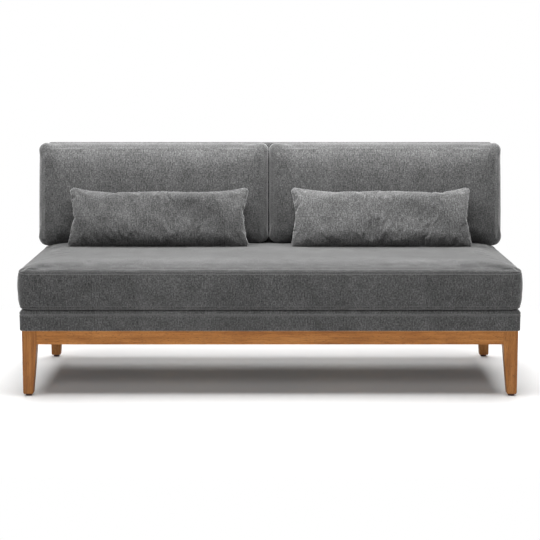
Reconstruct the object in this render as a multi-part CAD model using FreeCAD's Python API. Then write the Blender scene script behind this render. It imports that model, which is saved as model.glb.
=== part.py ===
"""An armless two-seat sofa: a show-wood base, an upholstered deck, a raked upholstered
back, one loose seat cushion, two loose back cushions and two loose lumbar pillows.

Millimetres. X runs from left to right as the sofa is seen from the front, Y from the front
to the back, and Z is up. The origin is on the floor, in the middle of the sofa's width and
depth.
"""

import FreeCAD
import Part
import math
import os

# Show-wood base
base_width = 1810.0
base_depth = 770.0
floor_clearance = 192.5
rail_height = 51.0
rail_thickness = 24.0
rail_setback = 0.8
rail_edge_radius = 0.8
leg_width = 53.0
foot_width = 37.0
leg_edge_radius = 3.0
foot_chamfer = 4.0
tenon_length = 22.0
tenon_thickness = 12.0
tenon_shoulder = 7.0
joint_clearance = 0.15
stretcher_width = 45.0
stretcher_height = 36.0
stretcher_offset = 300.0
stretcher_tenon = 10.0

# Corner blocks and their bolts, which pull each leg into its corner
block_thickness = 26.0
block_height = 36.0
block_drop = 4.0
leg_flat = 8.0
bolt_radius = 4.0
bolt_clearance = 0.3
bolt_in_leg = 34.0
bolt_tail = 4.0
nut_width = 13.0
nut_height = 6.5

# Plastic glides under the feet
glide_height = 8.0
glide_radius = 12.0

# Upholstered deck on the base
deck_height = 76.5
deck_overhang = 8.0
deck_edge_radius = 13.0
fabric_thickness = 2.5
layer_gap = 0.2
lining_bevel_share = 0.75
deck_pad_top = 13.0
deck_rail_thickness = 38.0
deck_rail_tenon = 14.0
cross_rail_drop = 14.0
dust_cover_thickness = 0.8
dust_cover_margin = 2.0

# Elastic webbing, woven one over and one under
web_width = 68.0
web_thickness = 2.0
web_ramp = 22.0
deck_across_count = 3
deck_along_count = 8
back_across_count = 2
back_along_count = 8
web_on_rail = 24.0

# Raked back, and the screws that hold it to the deck
back_side_step = 1.0
back_height = 882.0
back_thickness = 50.0
back_top_thickness = 45.0
back_lean = 10.0
back_edge_radius = 16.0
back_pad_front = 9.0
back_panel_thickness = 2.4
post_width = 34.0
post_offset = 360.0
top_rail_height = 58.0
seat_rail_height = 64.0
seat_rail_thickness = 16.0
seat_rail_rise = 26.0
screw_height = 26.0
screw_rebate_height = 48.0
screw_head_height = 5.3
screw_tip_gap = 1.0

# Loose seat cushion
seat_rear_gap = 3.0
seat_thickness = 165.5
seat_overhang = 12.0
seat_side_overhang = 7.5
seat_lower_seam = 13.0
seat_upper_seam = 135.5
seat_under_run = 12.0
seat_crown_run = 145.0
seat_rear_run = 34.0
seat_corner_radius = 42.0
seam_inset = 4.0
touch_gap = 0.3

# Loose back cushions
back_cushion_height = 418.0
back_cushion_thickness = 146.0
back_cushion_gap = 5.0
back_cushion_side_overhang = 12.0
back_cushion_corner_radius = 26.0
back_cushion_rear_seam = 14.0
back_cushion_front_seam = 112.0
back_cushion_seam_inset = 18.0
back_cushion_under_run = 12.0
back_cushion_crown_run = 115.0
back_cushion_foot_run = 60.0

# Loose lumbar pillows
pillow_width = 712.0
pillow_height = 246.0
pillow_thickness = 116.0
pillow_lean = 19.0
pillow_offset = 442.0
pillow_pull_in = 17.0
pillow_crown_run = 84.0
pillow_foot_run = 56.0

# Widths that follow from the sizes above
half_base = base_width / 2
deck_width = base_width + 2 * deck_overhang
back_width = deck_width - 2 * back_side_step
seat_width = deck_width + 2 * seat_side_overhang
back_cushion_width = seat_width / 2 + back_cushion_side_overhang - back_cushion_gap / 2

# Heights and depths that follow from the sizes above
lean = math.radians(back_lean)
rail_top = floor_clearance + rail_height
deck_top = rail_top + deck_height
seat_bottom = deck_top + touch_gap
cushion_bottom = seat_bottom + seat_thickness + touch_gap
back_rise = back_height - deck_top
back_overhang = back_rise * math.tan(lean) + back_top_thickness - back_thickness
overall_depth = seat_overhang + base_depth + back_overhang
base_front = seat_overhang - overall_depth / 2
base_rear = base_front + base_depth
deck_front = base_front - deck_overhang
deck_rear = base_rear - back_thickness
seat_front = base_front - seat_overhang
seat_depth = deck_rear - seat_rear_gap - seat_front
rail_back = rail_setback + rail_thickness
under_fabric = fabric_thickness + layer_gap
deck_bevel = lining_bevel_share * (deck_edge_radius - fabric_thickness)
back_bevel = lining_bevel_share * (back_edge_radius - fabric_thickness)
web_layers = 2 * web_thickness + 2 * layer_gap
deck_frame_top = deck_top - under_fabric - deck_pad_top - web_layers
everywhere = 4 * base_width
past = 5.0
tolerance = 1e-6


def vector(x, y, z):
    """A point or direction."""
    return FreeCAD.Vector(x, y, z)


def box(x_range, y_range, z_range):
    """A box between two values on each axis."""
    (x0, x1), (y0, y1), (z0, z1) = x_range, y_range, z_range
    return Part.makeBox(x1 - x0, y1 - y0, z1 - z0, vector(x0, y0, z0))


def cylinder(radius, start, end):
    """A round bar from one point to another."""
    along = end - start
    return Part.makeCylinder(radius, along.Length, start, along)


def prism(points, along):
    """A closed polygon pushed along a direction."""
    return Part.Face(Part.makePolygon(points + points[:1])).extrude(along)


def mirror_x(shape):
    """The same piece on the other side of the sofa."""
    return shape.mirror(vector(0, 0, 0), vector(1, 0, 0))


def mirror_y(shape):
    """The same piece at the other end of the base's depth."""
    return shape.mirror(vector(0, (base_front + base_rear) / 2, 0), vector(0, 1, 0))


def four_corners(shape):
    """A front left piece repeated at the other three corners of the base."""
    return [shape, mirror_x(shape), mirror_y(shape), mirror_x(mirror_y(shape))]


def rounded_outline(x_range, y_range, z, radius):
    """The four sides and four corner arcs of a level rounded rectangle."""
    (x0, x1), (y0, y1) = x_range, y_range
    cut = radius * (1 - math.sqrt(0.5))
    starts = [(x0 + radius, y0), (x1, y0 + radius), (x1 - radius, y1), (x0, y1 - radius)]
    ends = [(x1 - radius, y0), (x1, y1 - radius), (x0 + radius, y1), (x0, y0 + radius)]
    corners = [(x1 - cut, y0 + cut), (x1 - cut, y1 - cut), (x0 + cut, y1 - cut), (x0 + cut, y0 + cut)]
    edges = []
    for i in range(4):
        start, end = vector(*starts[i], z), vector(*ends[i], z)
        following = vector(*starts[(i + 1) % 4], z)
        edges.append(Part.LineSegment(start, end).toShape())
        edges.append(Part.Arc(end, vector(*corners[i], z), following).toShape())
    return edges


def between(lower, upper):
    """The skin between two edges: ruled between arcs, and flat between straight lines, as
    one face or, where the two lines are twisted, as two triangles."""
    if not isinstance(lower.Curve, Part.Line):
        return [Part.makeRuledSurface(lower, upper)]
    a, b = (lower.valueAt(p) for p in lower.ParameterRange)
    c, d = (upper.valueAt(p) for p in upper.ParameterRange)
    quad = Part.makePolygon([a, b, d, c, a])
    if quad.findPlane():
        return [Part.Face(quad)]
    return [Part.Face(Part.makePolygon([a, b, d, a])), Part.Face(Part.makePolygon([a, d, c, a]))]


def loft(outlines):
    """A solid through a stack of outlines that have their edges in the same order."""
    faces = [Part.Face(Part.Wire(outlines[0])), Part.Face(Part.Wire(outlines[-1]))]
    for lower, upper in zip(outlines, outlines[1:]):
        for low_edge, high_edge in zip(lower, upper):
            faces += between(low_edge, high_edge)
    shell = Part.makeShell(faces)
    shell.sewShape()
    return Part.makeSolid(shell)


def leg():
    """Front left leg: square at the rails, tapered below them on its two inner faces, with
    mortises for both rails and a flat where the corner block's bolt enters."""
    x0, y0 = -half_base, base_front

    def section(width, z, inset=0.0):
        x_range = (x0 + inset, x0 + width - inset)
        y_range = (y0 + inset, y0 + width - inset)
        return rounded_outline(x_range, y_range, z, leg_edge_radius)

    body = loft(
        [
            section(foot_width, glide_height, foot_chamfer / 2),
            section(foot_width, glide_height + foot_chamfer),
            section(leg_width, floor_clearance),
            section(leg_width, rail_top),
        ]
    )
    inner, bevel = leg_width, leg_width - leg_flat
    flat = prism(
        [
            vector(x0 + bevel, y0 + inner, floor_clearance),
            vector(x0 + inner, y0 + bevel, floor_clearance),
            vector(x0 + inner + leg_flat, y0 + inner + leg_flat, floor_clearance),
        ],
        vector(0, 0, rail_height),
    )
    for cut in (flat, front_tenon(joint_clearance), side_tenon(joint_clearance), corner_bolt_hole()):
        body = body.cut(cut)
    return body


def tenon_heights(grow):
    """Underside and top of the rails' tenons."""
    return floor_clearance + tenon_shoulder - grow, rail_top - tenon_shoulder + grow


def front_tenon(grow=0.0):
    """The front rail's stub tenon in the left leg, grown all round to make its mortise."""
    x_end = -half_base + leg_width
    y_mid = base_front + rail_setback + rail_thickness / 2
    half = tenon_thickness / 2 + grow
    return box((x_end - tenon_length - grow, x_end), (y_mid - half, y_mid + half), tenon_heights(grow))


def side_tenon(grow=0.0):
    """The side rail's stub tenon in the front leg, below and above the front rail's line."""
    y_end = base_front + leg_width
    x_mid = -half_base + rail_setback + rail_thickness / 2
    half = tenon_thickness / 2 + grow
    return box((x_mid - half, x_mid + half), (y_end - tenon_length - grow, y_end), tenon_heights(grow))


def ease_lower_edges(shape, outer_side):
    """Rounds the two long lower edges and the outer upper edge of a straight rail."""
    middle = shape.BoundBox.Center
    long_edges = []
    for edge in shape.Edges:
        side = (edge.CenterOfMass - middle).dot(outer_side)
        low = edge.CenterOfMass.z < middle.z
        if edge.Length > 2 * rail_height and (low or side > 0):
            long_edges.append(edge)
    return shape.makeFillet(rail_edge_radius, long_edges)


def front_rail():
    """Front apron, a little behind the legs' faces, with a tenon at each end and mortises
    for the two stretchers."""
    x_range = (-half_base + leg_width, half_base - leg_width)
    y_range = (base_front + rail_setback, base_front + rail_back)
    rail = ease_lower_edges(box(x_range, y_range, (floor_clearance, rail_top)), vector(0, -1, 0))
    rail = rail.fuse([front_tenon(), mirror_x(front_tenon())])
    mortise = stretcher_tenon_box(joint_clearance)
    return rail.cut(mortise).cut(mirror_x(mortise))


def side_rail():
    """Left apron with a tenon at each end."""
    x_range = (-half_base + rail_setback, -half_base + rail_back)
    y_range = (base_front + leg_width, base_rear - leg_width)
    rail = ease_lower_edges(box(x_range, y_range, (floor_clearance, rail_top)), vector(-1, 0, 0))
    return rail.fuse([side_tenon(), mirror_y(side_tenon())])


def stretcher_heights():
    """Underside and top of the stretchers, which hold the dust cover up to the deck."""
    top = rail_top - dust_cover_thickness
    return top - stretcher_height, top


def stretcher_tenon_box(grow=0.0):
    """The left stretcher's tenon in the front rail."""
    bottom, top = stretcher_heights()
    y_end = base_front + rail_back
    half = stretcher_width / 2 - tenon_shoulder + grow
    x_range = (-stretcher_offset - half, -stretcher_offset + half)
    z_range = (bottom + tenon_shoulder - grow, top - tenon_shoulder + grow)
    return box(x_range, (y_end - stretcher_tenon - grow, y_end), z_range)


def stretcher():
    """Left stretcher, from the front rail to the rear rail."""
    x_range = (-stretcher_offset - stretcher_width / 2, -stretcher_offset + stretcher_width / 2)
    y_range = (base_front + rail_back, base_rear - rail_back)
    tenon = stretcher_tenon_box()
    return box(x_range, y_range, stretcher_heights()).fuse([tenon, mirror_y(tenon)])


def block_line():
    """Distance, summed along both rails, from a base corner to its block's bearing face."""
    return 2 * leg_width - leg_flat


def corner_block():
    """Front left corner block: a diagonal block that bears on the leg's flat and on both
    rails' inner faces, with a hole for the corner bolt."""
    near = block_line()
    far = near + block_thickness * math.sqrt(2)
    x0, y0 = -half_base + rail_back, base_front + rail_back
    low = rail_top - block_drop - block_height
    short, long = near - 2 * rail_back, far - 2 * rail_back
    corners = [(short, 0), (long, 0), (0, long), (0, short)]
    block = prism([vector(x0 + u, y0 + v, low) for u, v in corners], vector(0, 0, block_height))
    return block.cut(corner_bolt_hole())


def corner_bolt_line(from_flat):
    """A point on the corner bolt's axis, a distance inwards from the leg's flat."""
    along = block_line() / 2 + from_flat * math.sqrt(0.5)
    return vector(-half_base + along, base_front + along, rail_top - block_drop - block_height / 2)


def corner_bolt_hole():
    """The hole that the corner bolt passes through in the leg and the block."""
    deepest = corner_bolt_line(-bolt_in_leg - bolt_clearance)
    return cylinder(bolt_radius + bolt_clearance, deepest, corner_bolt_line(block_thickness))


def hexagon(start, end, width):
    """A hexagonal nut or screw head between two points on its axis."""
    along = end - start
    turn = FreeCAD.Rotation(vector(0, 0, 1), along)
    angles = [math.radians(60 * i) for i in range(6)]
    reach = width / math.sqrt(3)
    directions = [turn.multVec(vector(math.cos(a), math.sin(a), 0)) for a in angles]
    return prism([start + direction * reach for direction in directions], along)


def corner_bolt():
    """Hanger bolt from inside the leg out through the corner block, with its nut."""
    on_block = corner_bolt_line(block_thickness)
    on_nut = corner_bolt_line(block_thickness + nut_height)
    tail = corner_bolt_line(block_thickness + nut_height + bolt_tail)
    bolt = cylinder(bolt_radius, corner_bolt_line(-bolt_in_leg), tail)
    return bolt.fuse(hexagon(on_block, on_nut, nut_width))


def glide():
    """Front left glide, a plastic disc under the foot."""
    x, y = -half_base + foot_width / 2, base_front + foot_width / 2
    return cylinder(glide_radius, vector(x, y, 0), vector(x, y, glide_height))


def deck_form(inset, top_inset, rear_inset=0.0, below=0.0):
    """The deck's box with its front and sides, top and rear moved in."""
    half = deck_width / 2 - inset
    y_range = (deck_front + inset, deck_rear - rear_inset)
    return box((-half, half), y_range, (rail_top - below, deck_top - top_inset))


def deck_edges(form):
    """The deck's upright front edges and its top edges, apart from the rear one."""
    bounds = form.BoundBox
    chosen = []
    for edge in form.Edges:
        middle = edge.CenterOfMass
        at_rear = abs(middle.y - bounds.YMax) < tolerance
        on_top = abs(middle.z - bounds.ZMax) < tolerance
        upright = edge.BoundBox.ZLength > bounds.ZLength / 2
        if not at_rear and (on_top or upright):
            chosen.append(edge)
    return chosen


def deck_lining(inset, below=0.0, behind=0.0):
    """The deck's form under its fabric, with bevels that clear the fabric's round edges."""
    form = deck_form(inset, inset, -behind, below)
    return form.makeChamfer(deck_bevel, deck_edges(form))


def deck_cover():
    """Fabric drawn over the deck's front, sides and top, open below and behind."""
    outer = deck_form(0, 0)
    outer = outer.makeFillet(deck_edge_radius, deck_edges(outer))
    return outer.cut(deck_lining(fabric_thickness, below=past, behind=past))


def deck_frame_inset():
    """How far the deck's wooden frame stands inside the cover's outer face."""
    return under_fabric + deck_bevel


def deck_pad():
    """Foam over the deck's top, front and sides, under the fabric."""
    hollow = deck_form(deck_frame_inset(), deck_top - deck_frame_top - web_layers, -past, past)
    return deck_lining(under_fabric).cut(hollow)


def deck_frame_ranges():
    """Outer plan of the deck's frame: its x range and its y range."""
    half = deck_width / 2 - deck_frame_inset()
    return (-half, half), (deck_front + deck_frame_inset(), deck_rear)


def deck_mirror_y(shape):
    """The same piece at the other end of the deck's frame."""
    _, (y0, y1) = deck_frame_ranges()
    return shape.mirror(vector(0, (y0 + y1) / 2, 0), vector(0, 1, 0))


def deck_side_rail_place():
    """X range and top of the deck's left side rail."""
    (x0, _), _ = deck_frame_ranges()
    return (x0, x0 + deck_rail_thickness), deck_frame_top


def deck_cross_rail_place():
    """X range and top of the deck's left cross rail, which clears the webbing."""
    half = stretcher_width / 2
    return (-stretcher_offset - half, -stretcher_offset + half), deck_frame_top - cross_rail_drop


def deck_tenon(x_range, top, grow=0.0):
    """The tenon of a deck side rail or cross rail in the deck's front rail."""
    _, (y0, _) = deck_frame_ranges()
    y_end = y0 + deck_rail_thickness
    shoulder = tenon_shoulder - grow
    x_tenon = (x_range[0] + shoulder, x_range[1] - shoulder)
    return box(x_tenon, (y_end - deck_rail_tenon - grow, y_end), (rail_top + shoulder, top - shoulder))


def deck_front_rail():
    """Front rail of the deck, mortised for the side and cross rails."""
    x_range, (y0, _) = deck_frame_ranges()
    rail = box(x_range, (y0, y0 + deck_rail_thickness), (rail_top, deck_frame_top))
    for place in (deck_side_rail_place(), deck_cross_rail_place()):
        mortise = deck_tenon(*place, joint_clearance)
        rail = rail.cut(mortise).cut(mirror_x(mortise))
    return rail


def deck_rear_rail():
    """Rear rail of the deck, with blind holes for the screws that hold the back."""
    holes = [screw_hole(x) for x in post_middles()]
    return deck_mirror_y(deck_front_rail()).cut(Part.makeCompound(holes))


def deck_short_rail(x_range, top):
    """A side or cross rail of the deck, tenoned into the front and rear rails."""
    _, (y0, y1) = deck_frame_ranges()
    body = box(x_range, (y0 + deck_rail_thickness, y1 - deck_rail_thickness), (rail_top, top))
    tenon = deck_tenon(x_range, top)
    return body.fuse([tenon, deck_mirror_y(tenon)])


def dust_cover():
    """Thin cloth under the deck, inside the base's rails and clear of its legs."""
    inset = rail_back + dust_cover_margin
    z_range = (rail_top - dust_cover_thickness, rail_top)
    half = half_base - inset
    cloth = box((-half, half), (base_front + inset, base_rear - inset), z_range)
    past_leg = leg_width + dust_cover_margin
    corner = box((-half_base, -half_base + past_leg), (base_front, base_front + past_leg), z_range)
    return cloth.cut(Part.makeCompound(four_corners(corner)))


def strap(start, end, overs, across):
    """A flat strap along X from start to end, its middle at y = across. It lies on z = 0
    and climbs over the straps whose middles are listed in overs."""
    high = web_thickness + layer_gap
    half = web_width / 2
    path = [(start, 0.0)]
    for middle in overs:
        path += [(middle - half - web_ramp, 0.0), (middle - half, high)]
        path += [(middle + half, high), (middle + half + web_ramp, 0.0)]
    path.append((end, 0.0))
    upper = [vector(s, across - half, z + web_thickness) for s, z in path]
    lower = [vector(s, across - half, z) for s, z in reversed(path)]
    return prism(upper + lower, vector(0, web_width, 0))


def spread(start, end, count):
    """Middles of straps spaced evenly between two ends."""
    pitch = (end - start) / count
    return [start + pitch * (i + 0.5) for i in range(count)]


def woven_webbing(x_range, y_range, count_across, count_along):
    """Straps along X and straps along Y on the plane z = 0, woven one over, one under."""
    x_middles = spread(*x_range, count_along)
    y_middles = spread(*y_range, count_across)
    quarter = FreeCAD.Placement(vector(0, 0, 0), FreeCAD.Rotation(vector(0, 0, 1), 90))
    along_x, along_y = [], []
    for i, y in enumerate(y_middles):
        overs = [x for j, x in enumerate(x_middles) if (i + j) % 2 == 0]
        along_x.append(strap(*x_range, overs, y))
    for j, x in enumerate(x_middles):
        overs = [y for i, y in enumerate(y_middles) if (i + j) % 2 == 1]
        turned = strap(*y_range, overs, -x)
        turned.Placement = quarter
        along_y.append(turned)
    return along_x, along_y


def deck_webbing():
    """The deck's webbing, laid on its frame's top."""
    (x0, x1), (y0, y1) = deck_frame_ranges()
    reach = deck_rail_thickness - web_on_rail
    spans = (x0 + reach, x1 - reach), (y0 + reach, y1 - reach)
    groups = woven_webbing(*spans, deck_across_count, deck_along_count)
    for webs in groups:
        for web in webs:
            web.translate(vector(0, 0, deck_frame_top))
    return groups


def back_form(front_inset, rear_inset, side_inset, top_inset, below=0.0):
    """The back's slab, upright behind the deck and raked above it, with its faces moved in
    along Y, X and Z."""
    front = deck_rear + front_inset
    rear = base_rear - rear_inset
    top = back_height - top_inset
    run = (top - deck_top) * math.tan(lean)
    taper = (back_thickness - back_top_thickness) * (top - deck_top) / back_rise
    half = back_width / 2 - side_inset
    profile = [
        (front, rail_top - below),
        (front, deck_top),
        (front + run, top),
        (rear + run - taper, top),
        (rear, deck_top),
        (rear, rail_top - below),
    ]
    return prism([vector(-half, y, z) for y, z in reversed(profile)], vector(2 * half, 0, 0))


def back_edges(form):
    """The back's edges round its two large faces, apart from the lowest."""
    bounds = form.BoundBox
    chosen = []
    for edge in form.Edges:
        middle = edge.CenterOfMass
        along_x = edge.BoundBox.XLength > bounds.XLength / 2
        on_top = along_x and abs(middle.z - bounds.ZMax) < tolerance
        up_end = not along_x and middle.z > rail_top and edge.BoundBox.ZLength > deck_height / 2
        if on_top or up_end:
            chosen.append(edge)
    return chosen


def back_lining(inset, rear_inset, below=0.0):
    """The back's form under its fabric, with bevels that clear the fabric's round edges."""
    form = back_form(inset, rear_inset, inset, inset, below)
    return form.makeChamfer(back_bevel, back_edges(form))


def back_cover():
    """Fabric round the whole back, open below and where the back meets the deck's frame."""
    outer = back_form(0, 0, 0, 0)
    outer = outer.makeFillet(back_edge_radius, back_edges(outer))
    half = back_width / 2 - under_fabric - back_bevel
    depths = (deck_rear - past, deck_rear + back_edge_radius)
    opening = box((-half, half), depths, (rail_top - past, deck_top))
    return outer.cut(back_lining(fabric_thickness, fabric_thickness, below=past)).cut(opening)


def frame_front_inset():
    """From the back's front face to its wooden frame, along Y."""
    return under_fabric + back_pad_front + web_layers / math.cos(lean)


def frame_edge_inset():
    """From the back's ends and top to its wooden frame."""
    return under_fabric + back_bevel


def frame_rear_inset():
    """From the back's rear face to its wooden frame, along Y."""
    return under_fabric + back_panel_thickness + layer_gap


def back_pad():
    """Foam over the front, ends and top of the back's frame, above the deck."""
    edge = frame_edge_inset() - layer_gap
    hollow = back_form(under_fabric + back_pad_front, -back_thickness, edge, edge, below=past)
    rear_half = back_form(back_thickness / 2, -back_thickness, -past, -past, below=past)
    below_seat = box((-everywhere, everywhere), (-everywhere, everywhere), (0, deck_top + layer_gap))
    return back_lining(under_fabric, under_fabric).cut(hollow).cut(rear_half).cut(below_seat)


def back_panel():
    """Fibreboard behind the back's frame."""
    edge = frame_edge_inset()
    kept = back_form(-back_thickness, frame_rear_inset() - layer_gap, 0, 0, below=past)
    return back_form(0, under_fabric, edge, edge).cut(kept)


def frame_slice(x_range, z_range, rear_inset=0.0):
    """The back's frame envelope between two x and two z values."""
    edge = frame_edge_inset()
    envelope = back_form(frame_front_inset(), frame_rear_inset() + rear_inset, edge, edge)
    return envelope.common(box(x_range, (-everywhere, everywhere), z_range))


def top_rail_underside():
    """Underside of the top rail, on which the posts end."""
    return back_height - frame_edge_inset() - top_rail_height


def back_top_rail():
    """Rail along the top of the back, over the posts."""
    return frame_slice((-everywhere, everywhere), (top_rail_underside(), back_height))


def back_seat_rail(grow=0.0):
    """The rail at seat height, let into the fronts of the posts. Grown, it is their notch."""
    outwards = past if grow else 0.0
    edge = frame_edge_inset() - outwards
    front = frame_front_inset()
    ahead = back_form(front - outwards, 0, edge, edge)
    behind = back_form(front + seat_rail_thickness + grow, -back_thickness, 0, 0, below=past)
    low = deck_top + seat_rail_rise - grow
    heights = (low, low + seat_rail_height + 2 * grow)
    level = box((-everywhere, everywhere), (-everywhere, everywhere), heights)
    return ahead.cut(behind).common(level)


def post(x_middle):
    """An upright post: thick below, where it is screwed to the deck's rear rail, raked and
    thinner above, notched for the seat rail and rebated for the screw's head."""
    x_range = (x_middle - post_width / 2, x_middle + post_width / 2)
    rear = base_rear - frame_rear_inset()
    foot = box(x_range, (deck_rear, rear), (rail_top, deck_top - layer_gap))
    body = foot.fuse(frame_slice(x_range, (rail_top, top_rail_underside())))
    rebate = (rear - screw_head_height, rear + past)
    body = body.cut(box(x_range, rebate, (rail_top, rail_top + screw_rebate_height)))
    return body.cut(back_seat_rail(layer_gap)).cut(screw_hole(x_middle))


def post_middles():
    """Middles of the four posts, from left to right."""
    end = back_width / 2 - frame_edge_inset() - post_width / 2
    return [-end, -post_offset, post_offset, end]


def screw_line(x, distance):
    """A point on a back screw's axis, a distance forwards from its head's seat."""
    seat = base_rear - frame_rear_inset() - screw_head_height
    return vector(x, seat - distance, rail_top + screw_height)


def screw_length():
    """From the head's seat, through the post, to just short of the deck rails' tenons."""
    through_post = screw_line(0, 0).y - deck_rear
    return through_post + deck_rail_thickness - deck_rail_tenon - 2 * joint_clearance - screw_tip_gap


def screw_hole(x):
    """A hole for a screw, through the post and into the deck's rear rail."""
    radius = bolt_radius + bolt_clearance
    return cylinder(radius, screw_line(x, 0), screw_line(x, screw_length() + joint_clearance))


def back_screws():
    """Coach screws that hold the back's posts to the deck's rear rail, heads at the rear."""
    screws = []
    for x in post_middles():
        seat = screw_line(x, 0)
        shank = cylinder(bolt_radius, seat, screw_line(x, screw_length()))
        head = hexagon(seat, screw_line(x, -screw_head_height), nut_width)
        screws.append(shank.fuse(head))
    return screws


def rake(shape):
    """Lays a flat layout in XY on the front of the back's frame: X stays, Y runs up the
    rake and Z points forwards."""
    shape.rotate(vector(0, 0, 0), vector(1, 0, 0), 90 - back_lean)
    shape.translate(vector(0, deck_rear + frame_front_inset(), deck_top))
    return shape


def back_webbing():
    """The back's webbing, from the seat rail to the top rail."""
    half = back_width / 2 - frame_edge_inset()
    low = seat_rail_rise / math.cos(lean) + web_on_rail
    high = (top_rail_underside() - deck_top) / math.cos(lean) + web_on_rail
    groups = woven_webbing((-half, half), (low, high), back_across_count, back_along_count)
    return [[rake(web) for web in webs] for webs in groups]


def box_cushion(width, depth, seams, thickness, runs, inset, radius, rake_angle, skin):
    """A box cushion lying flat, its near lower edge along y = 0: a rounded underside, sides
    that swell between two seams, and a crown that rises from the upper seam in a quarter of
    an ellipse.

    seams are the heights of the two seams. runs are the distances over which the underside,
    the near side, the ends and the far side round over. inset is how far the seams lie
    inside the swollen sides; a cushion that stands raked has a plain near side, cut so that
    it stands level. skin shrinks the form to the inside of a cover, with plainer sides.
    """
    low_seam, high_seam = seams
    under_run, near_run, end_run, far_run = runs
    crown = thickness - high_seam
    steps = 4 if skin == 0 else 2
    near_seam = 0.0 if rake_angle else inset
    outlines = []

    def add(height, seam, near, end, far):
        near_y = near_seam / inset * seam + near + skin + (thickness - height) * math.tan(rake_angle)
        half = width / 2 - seam - end - skin
        y_range = (near_y, depth - seam - far - skin)
        outlines.append(rounded_outline((-half, half), y_range, height, radius - skin))

    for i in range(steps // 2):
        angle = math.pi / 2 * (1 - 2 * i / steps)
        run = under_run * (1 - math.cos(angle))
        add(low_seam + (skin - low_seam) * math.sin(angle), inset, run * (not rake_angle), run, run)
    for i in range(steps + 1):
        share = i / steps
        height = low_seam + share * (high_seam - low_seam)
        add(height, inset * (2 * share - 1) ** 2, 0, 0, 0)
    for i in range(steps):
        angle = math.pi / 2 * (i + 1) / steps
        run = 1 - math.cos(angle)
        height = high_seam + (crown - skin) * math.sin(angle)
        add(height, inset, near_run * run, end_run * run, far_run * run)
    return loft(outlines)


def seat_cushion(skin=0.0):
    """The seat cushion. Its crown stays high at the rear, under the back cushions."""
    body = box_cushion(
        seat_width,
        seat_depth,
        (seat_lower_seam, seat_upper_seam),
        seat_thickness,
        (seat_under_run, seat_crown_run, seat_crown_run, seat_rear_run),
        seam_inset,
        seat_corner_radius,
        0.0,
        skin,
    )
    body.translate(vector(0, seat_front, seat_bottom))
    return body


def back_cushion(side, skin=0.0):
    """The left (-1) or right (1) back cushion, standing on the seat against the back."""
    run = back_cushion_crown_run
    body = box_cushion(
        back_cushion_width,
        back_cushion_height,
        (back_cushion_rear_seam, back_cushion_front_seam),
        back_cushion_thickness,
        (back_cushion_under_run, back_cushion_foot_run, run, run),
        back_cushion_seam_inset,
        back_cushion_corner_radius,
        lean,
        skin,
    )
    x_middle = side * (back_cushion_width + back_cushion_gap) / 2
    z = cushion_bottom - back_cushion_thickness * math.sin(lean)
    y = deck_rear + (z - deck_top) * math.tan(lean) - touch_gap / math.cos(lean)
    return stand_up(body, back_lean, vector(x_middle, y, z))


def stand_up(shape, angle, place):
    """Stands up a cushion that lies flat with its front face up, leaning back by an angle."""
    shape.rotate(vector(0, 0, 0), vector(1, 0, 0), 90 - angle)
    shape.translate(place)
    return shape


def pillow_outline(height, inset, skin):
    """One level of a flat pillow: straight below, and drawn in at the ends and the top."""
    x = pillow_width / 2 - inset - skin
    near = inset * pillow_foot_run / pillow_crown_run + skin
    far = pillow_height - inset - skin
    draw = pillow_pull_in * (1 - 0.8 * inset / pillow_crown_run)
    corners = [(x, near), (x, far), (-x, far), (-x, near)]
    pulls = [(-draw, 0), (0, -draw), (draw, 0), (0, 0)]
    chords = [4, 8, 4, 1]
    points = []
    for i in range(4):
        (xa, ya), (xb, yb) = corners[i], corners[(i + 1) % 4]
        for step in range(chords[i]):
            share = step / chords[i]
            bow = 4 * share * (1 - share)
            x_point = xa + share * (xb - xa) + bow * pulls[i][0]
            y_point = ya + share * (yb - ya) + bow * pulls[i][1]
            points.append(vector(x_point, y_point, height))
    return Part.makePolygon(points + points[:1]).Edges


def flat_pillow(skin=0.0):
    """A knife-edge pillow lying flat: two crowned halves that meet in one seam."""
    half = pillow_thickness / 2 - skin
    steps = 4 if skin == 0 else 2
    outlines = []
    for i in range(-steps, steps + 1):
        angle = math.pi / 2 * abs(i) / steps
        height = math.copysign(half * math.sin(angle), i)
        outlines.append(pillow_outline(height, pillow_crown_run * (1 - math.cos(angle)), 3 * skin))
    return loft(outlines)


def pillow(side, skin=0.0):
    """The left (-1) or right (1) pillow, standing on the seat against its back cushion."""
    outer = stand_up(flat_pillow(), pillow_lean, vector(0, 0, 0))
    lowest = min(v.Z for v in outer.Vertexes)
    cushion_front = deck_rear + (cushion_bottom - deck_top) * math.tan(lean)
    cushion_front -= back_cushion_thickness / math.cos(lean) + 2 * touch_gap
    rearmost = max(v.Y - (v.Z - lowest) * math.tan(lean) for v in outer.Vertexes)
    place = vector(side * pillow_offset, cushion_front - rearmost, cushion_bottom - lowest)
    return stand_up(flat_pillow(skin), pillow_lean, place)


def wood_base():
    """The show-wood base's pieces."""
    legs = four_corners(leg())
    pieces = {
        "front_left_leg": legs[0],
        "front_right_leg": legs[1],
        "rear_left_leg": legs[2],
        "rear_right_leg": legs[3],
        "glides": four_corners(glide()),
        "front_rail": front_rail(),
        "rear_rail": mirror_y(front_rail()),
        "left_rail": side_rail(),
        "right_rail": mirror_x(side_rail()),
        "left_stretcher": stretcher(),
        "right_stretcher": mirror_x(stretcher()),
        "corner_blocks": four_corners(corner_block()),
        "corner_bolts": four_corners(corner_bolt()),
    }
    return pieces


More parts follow.
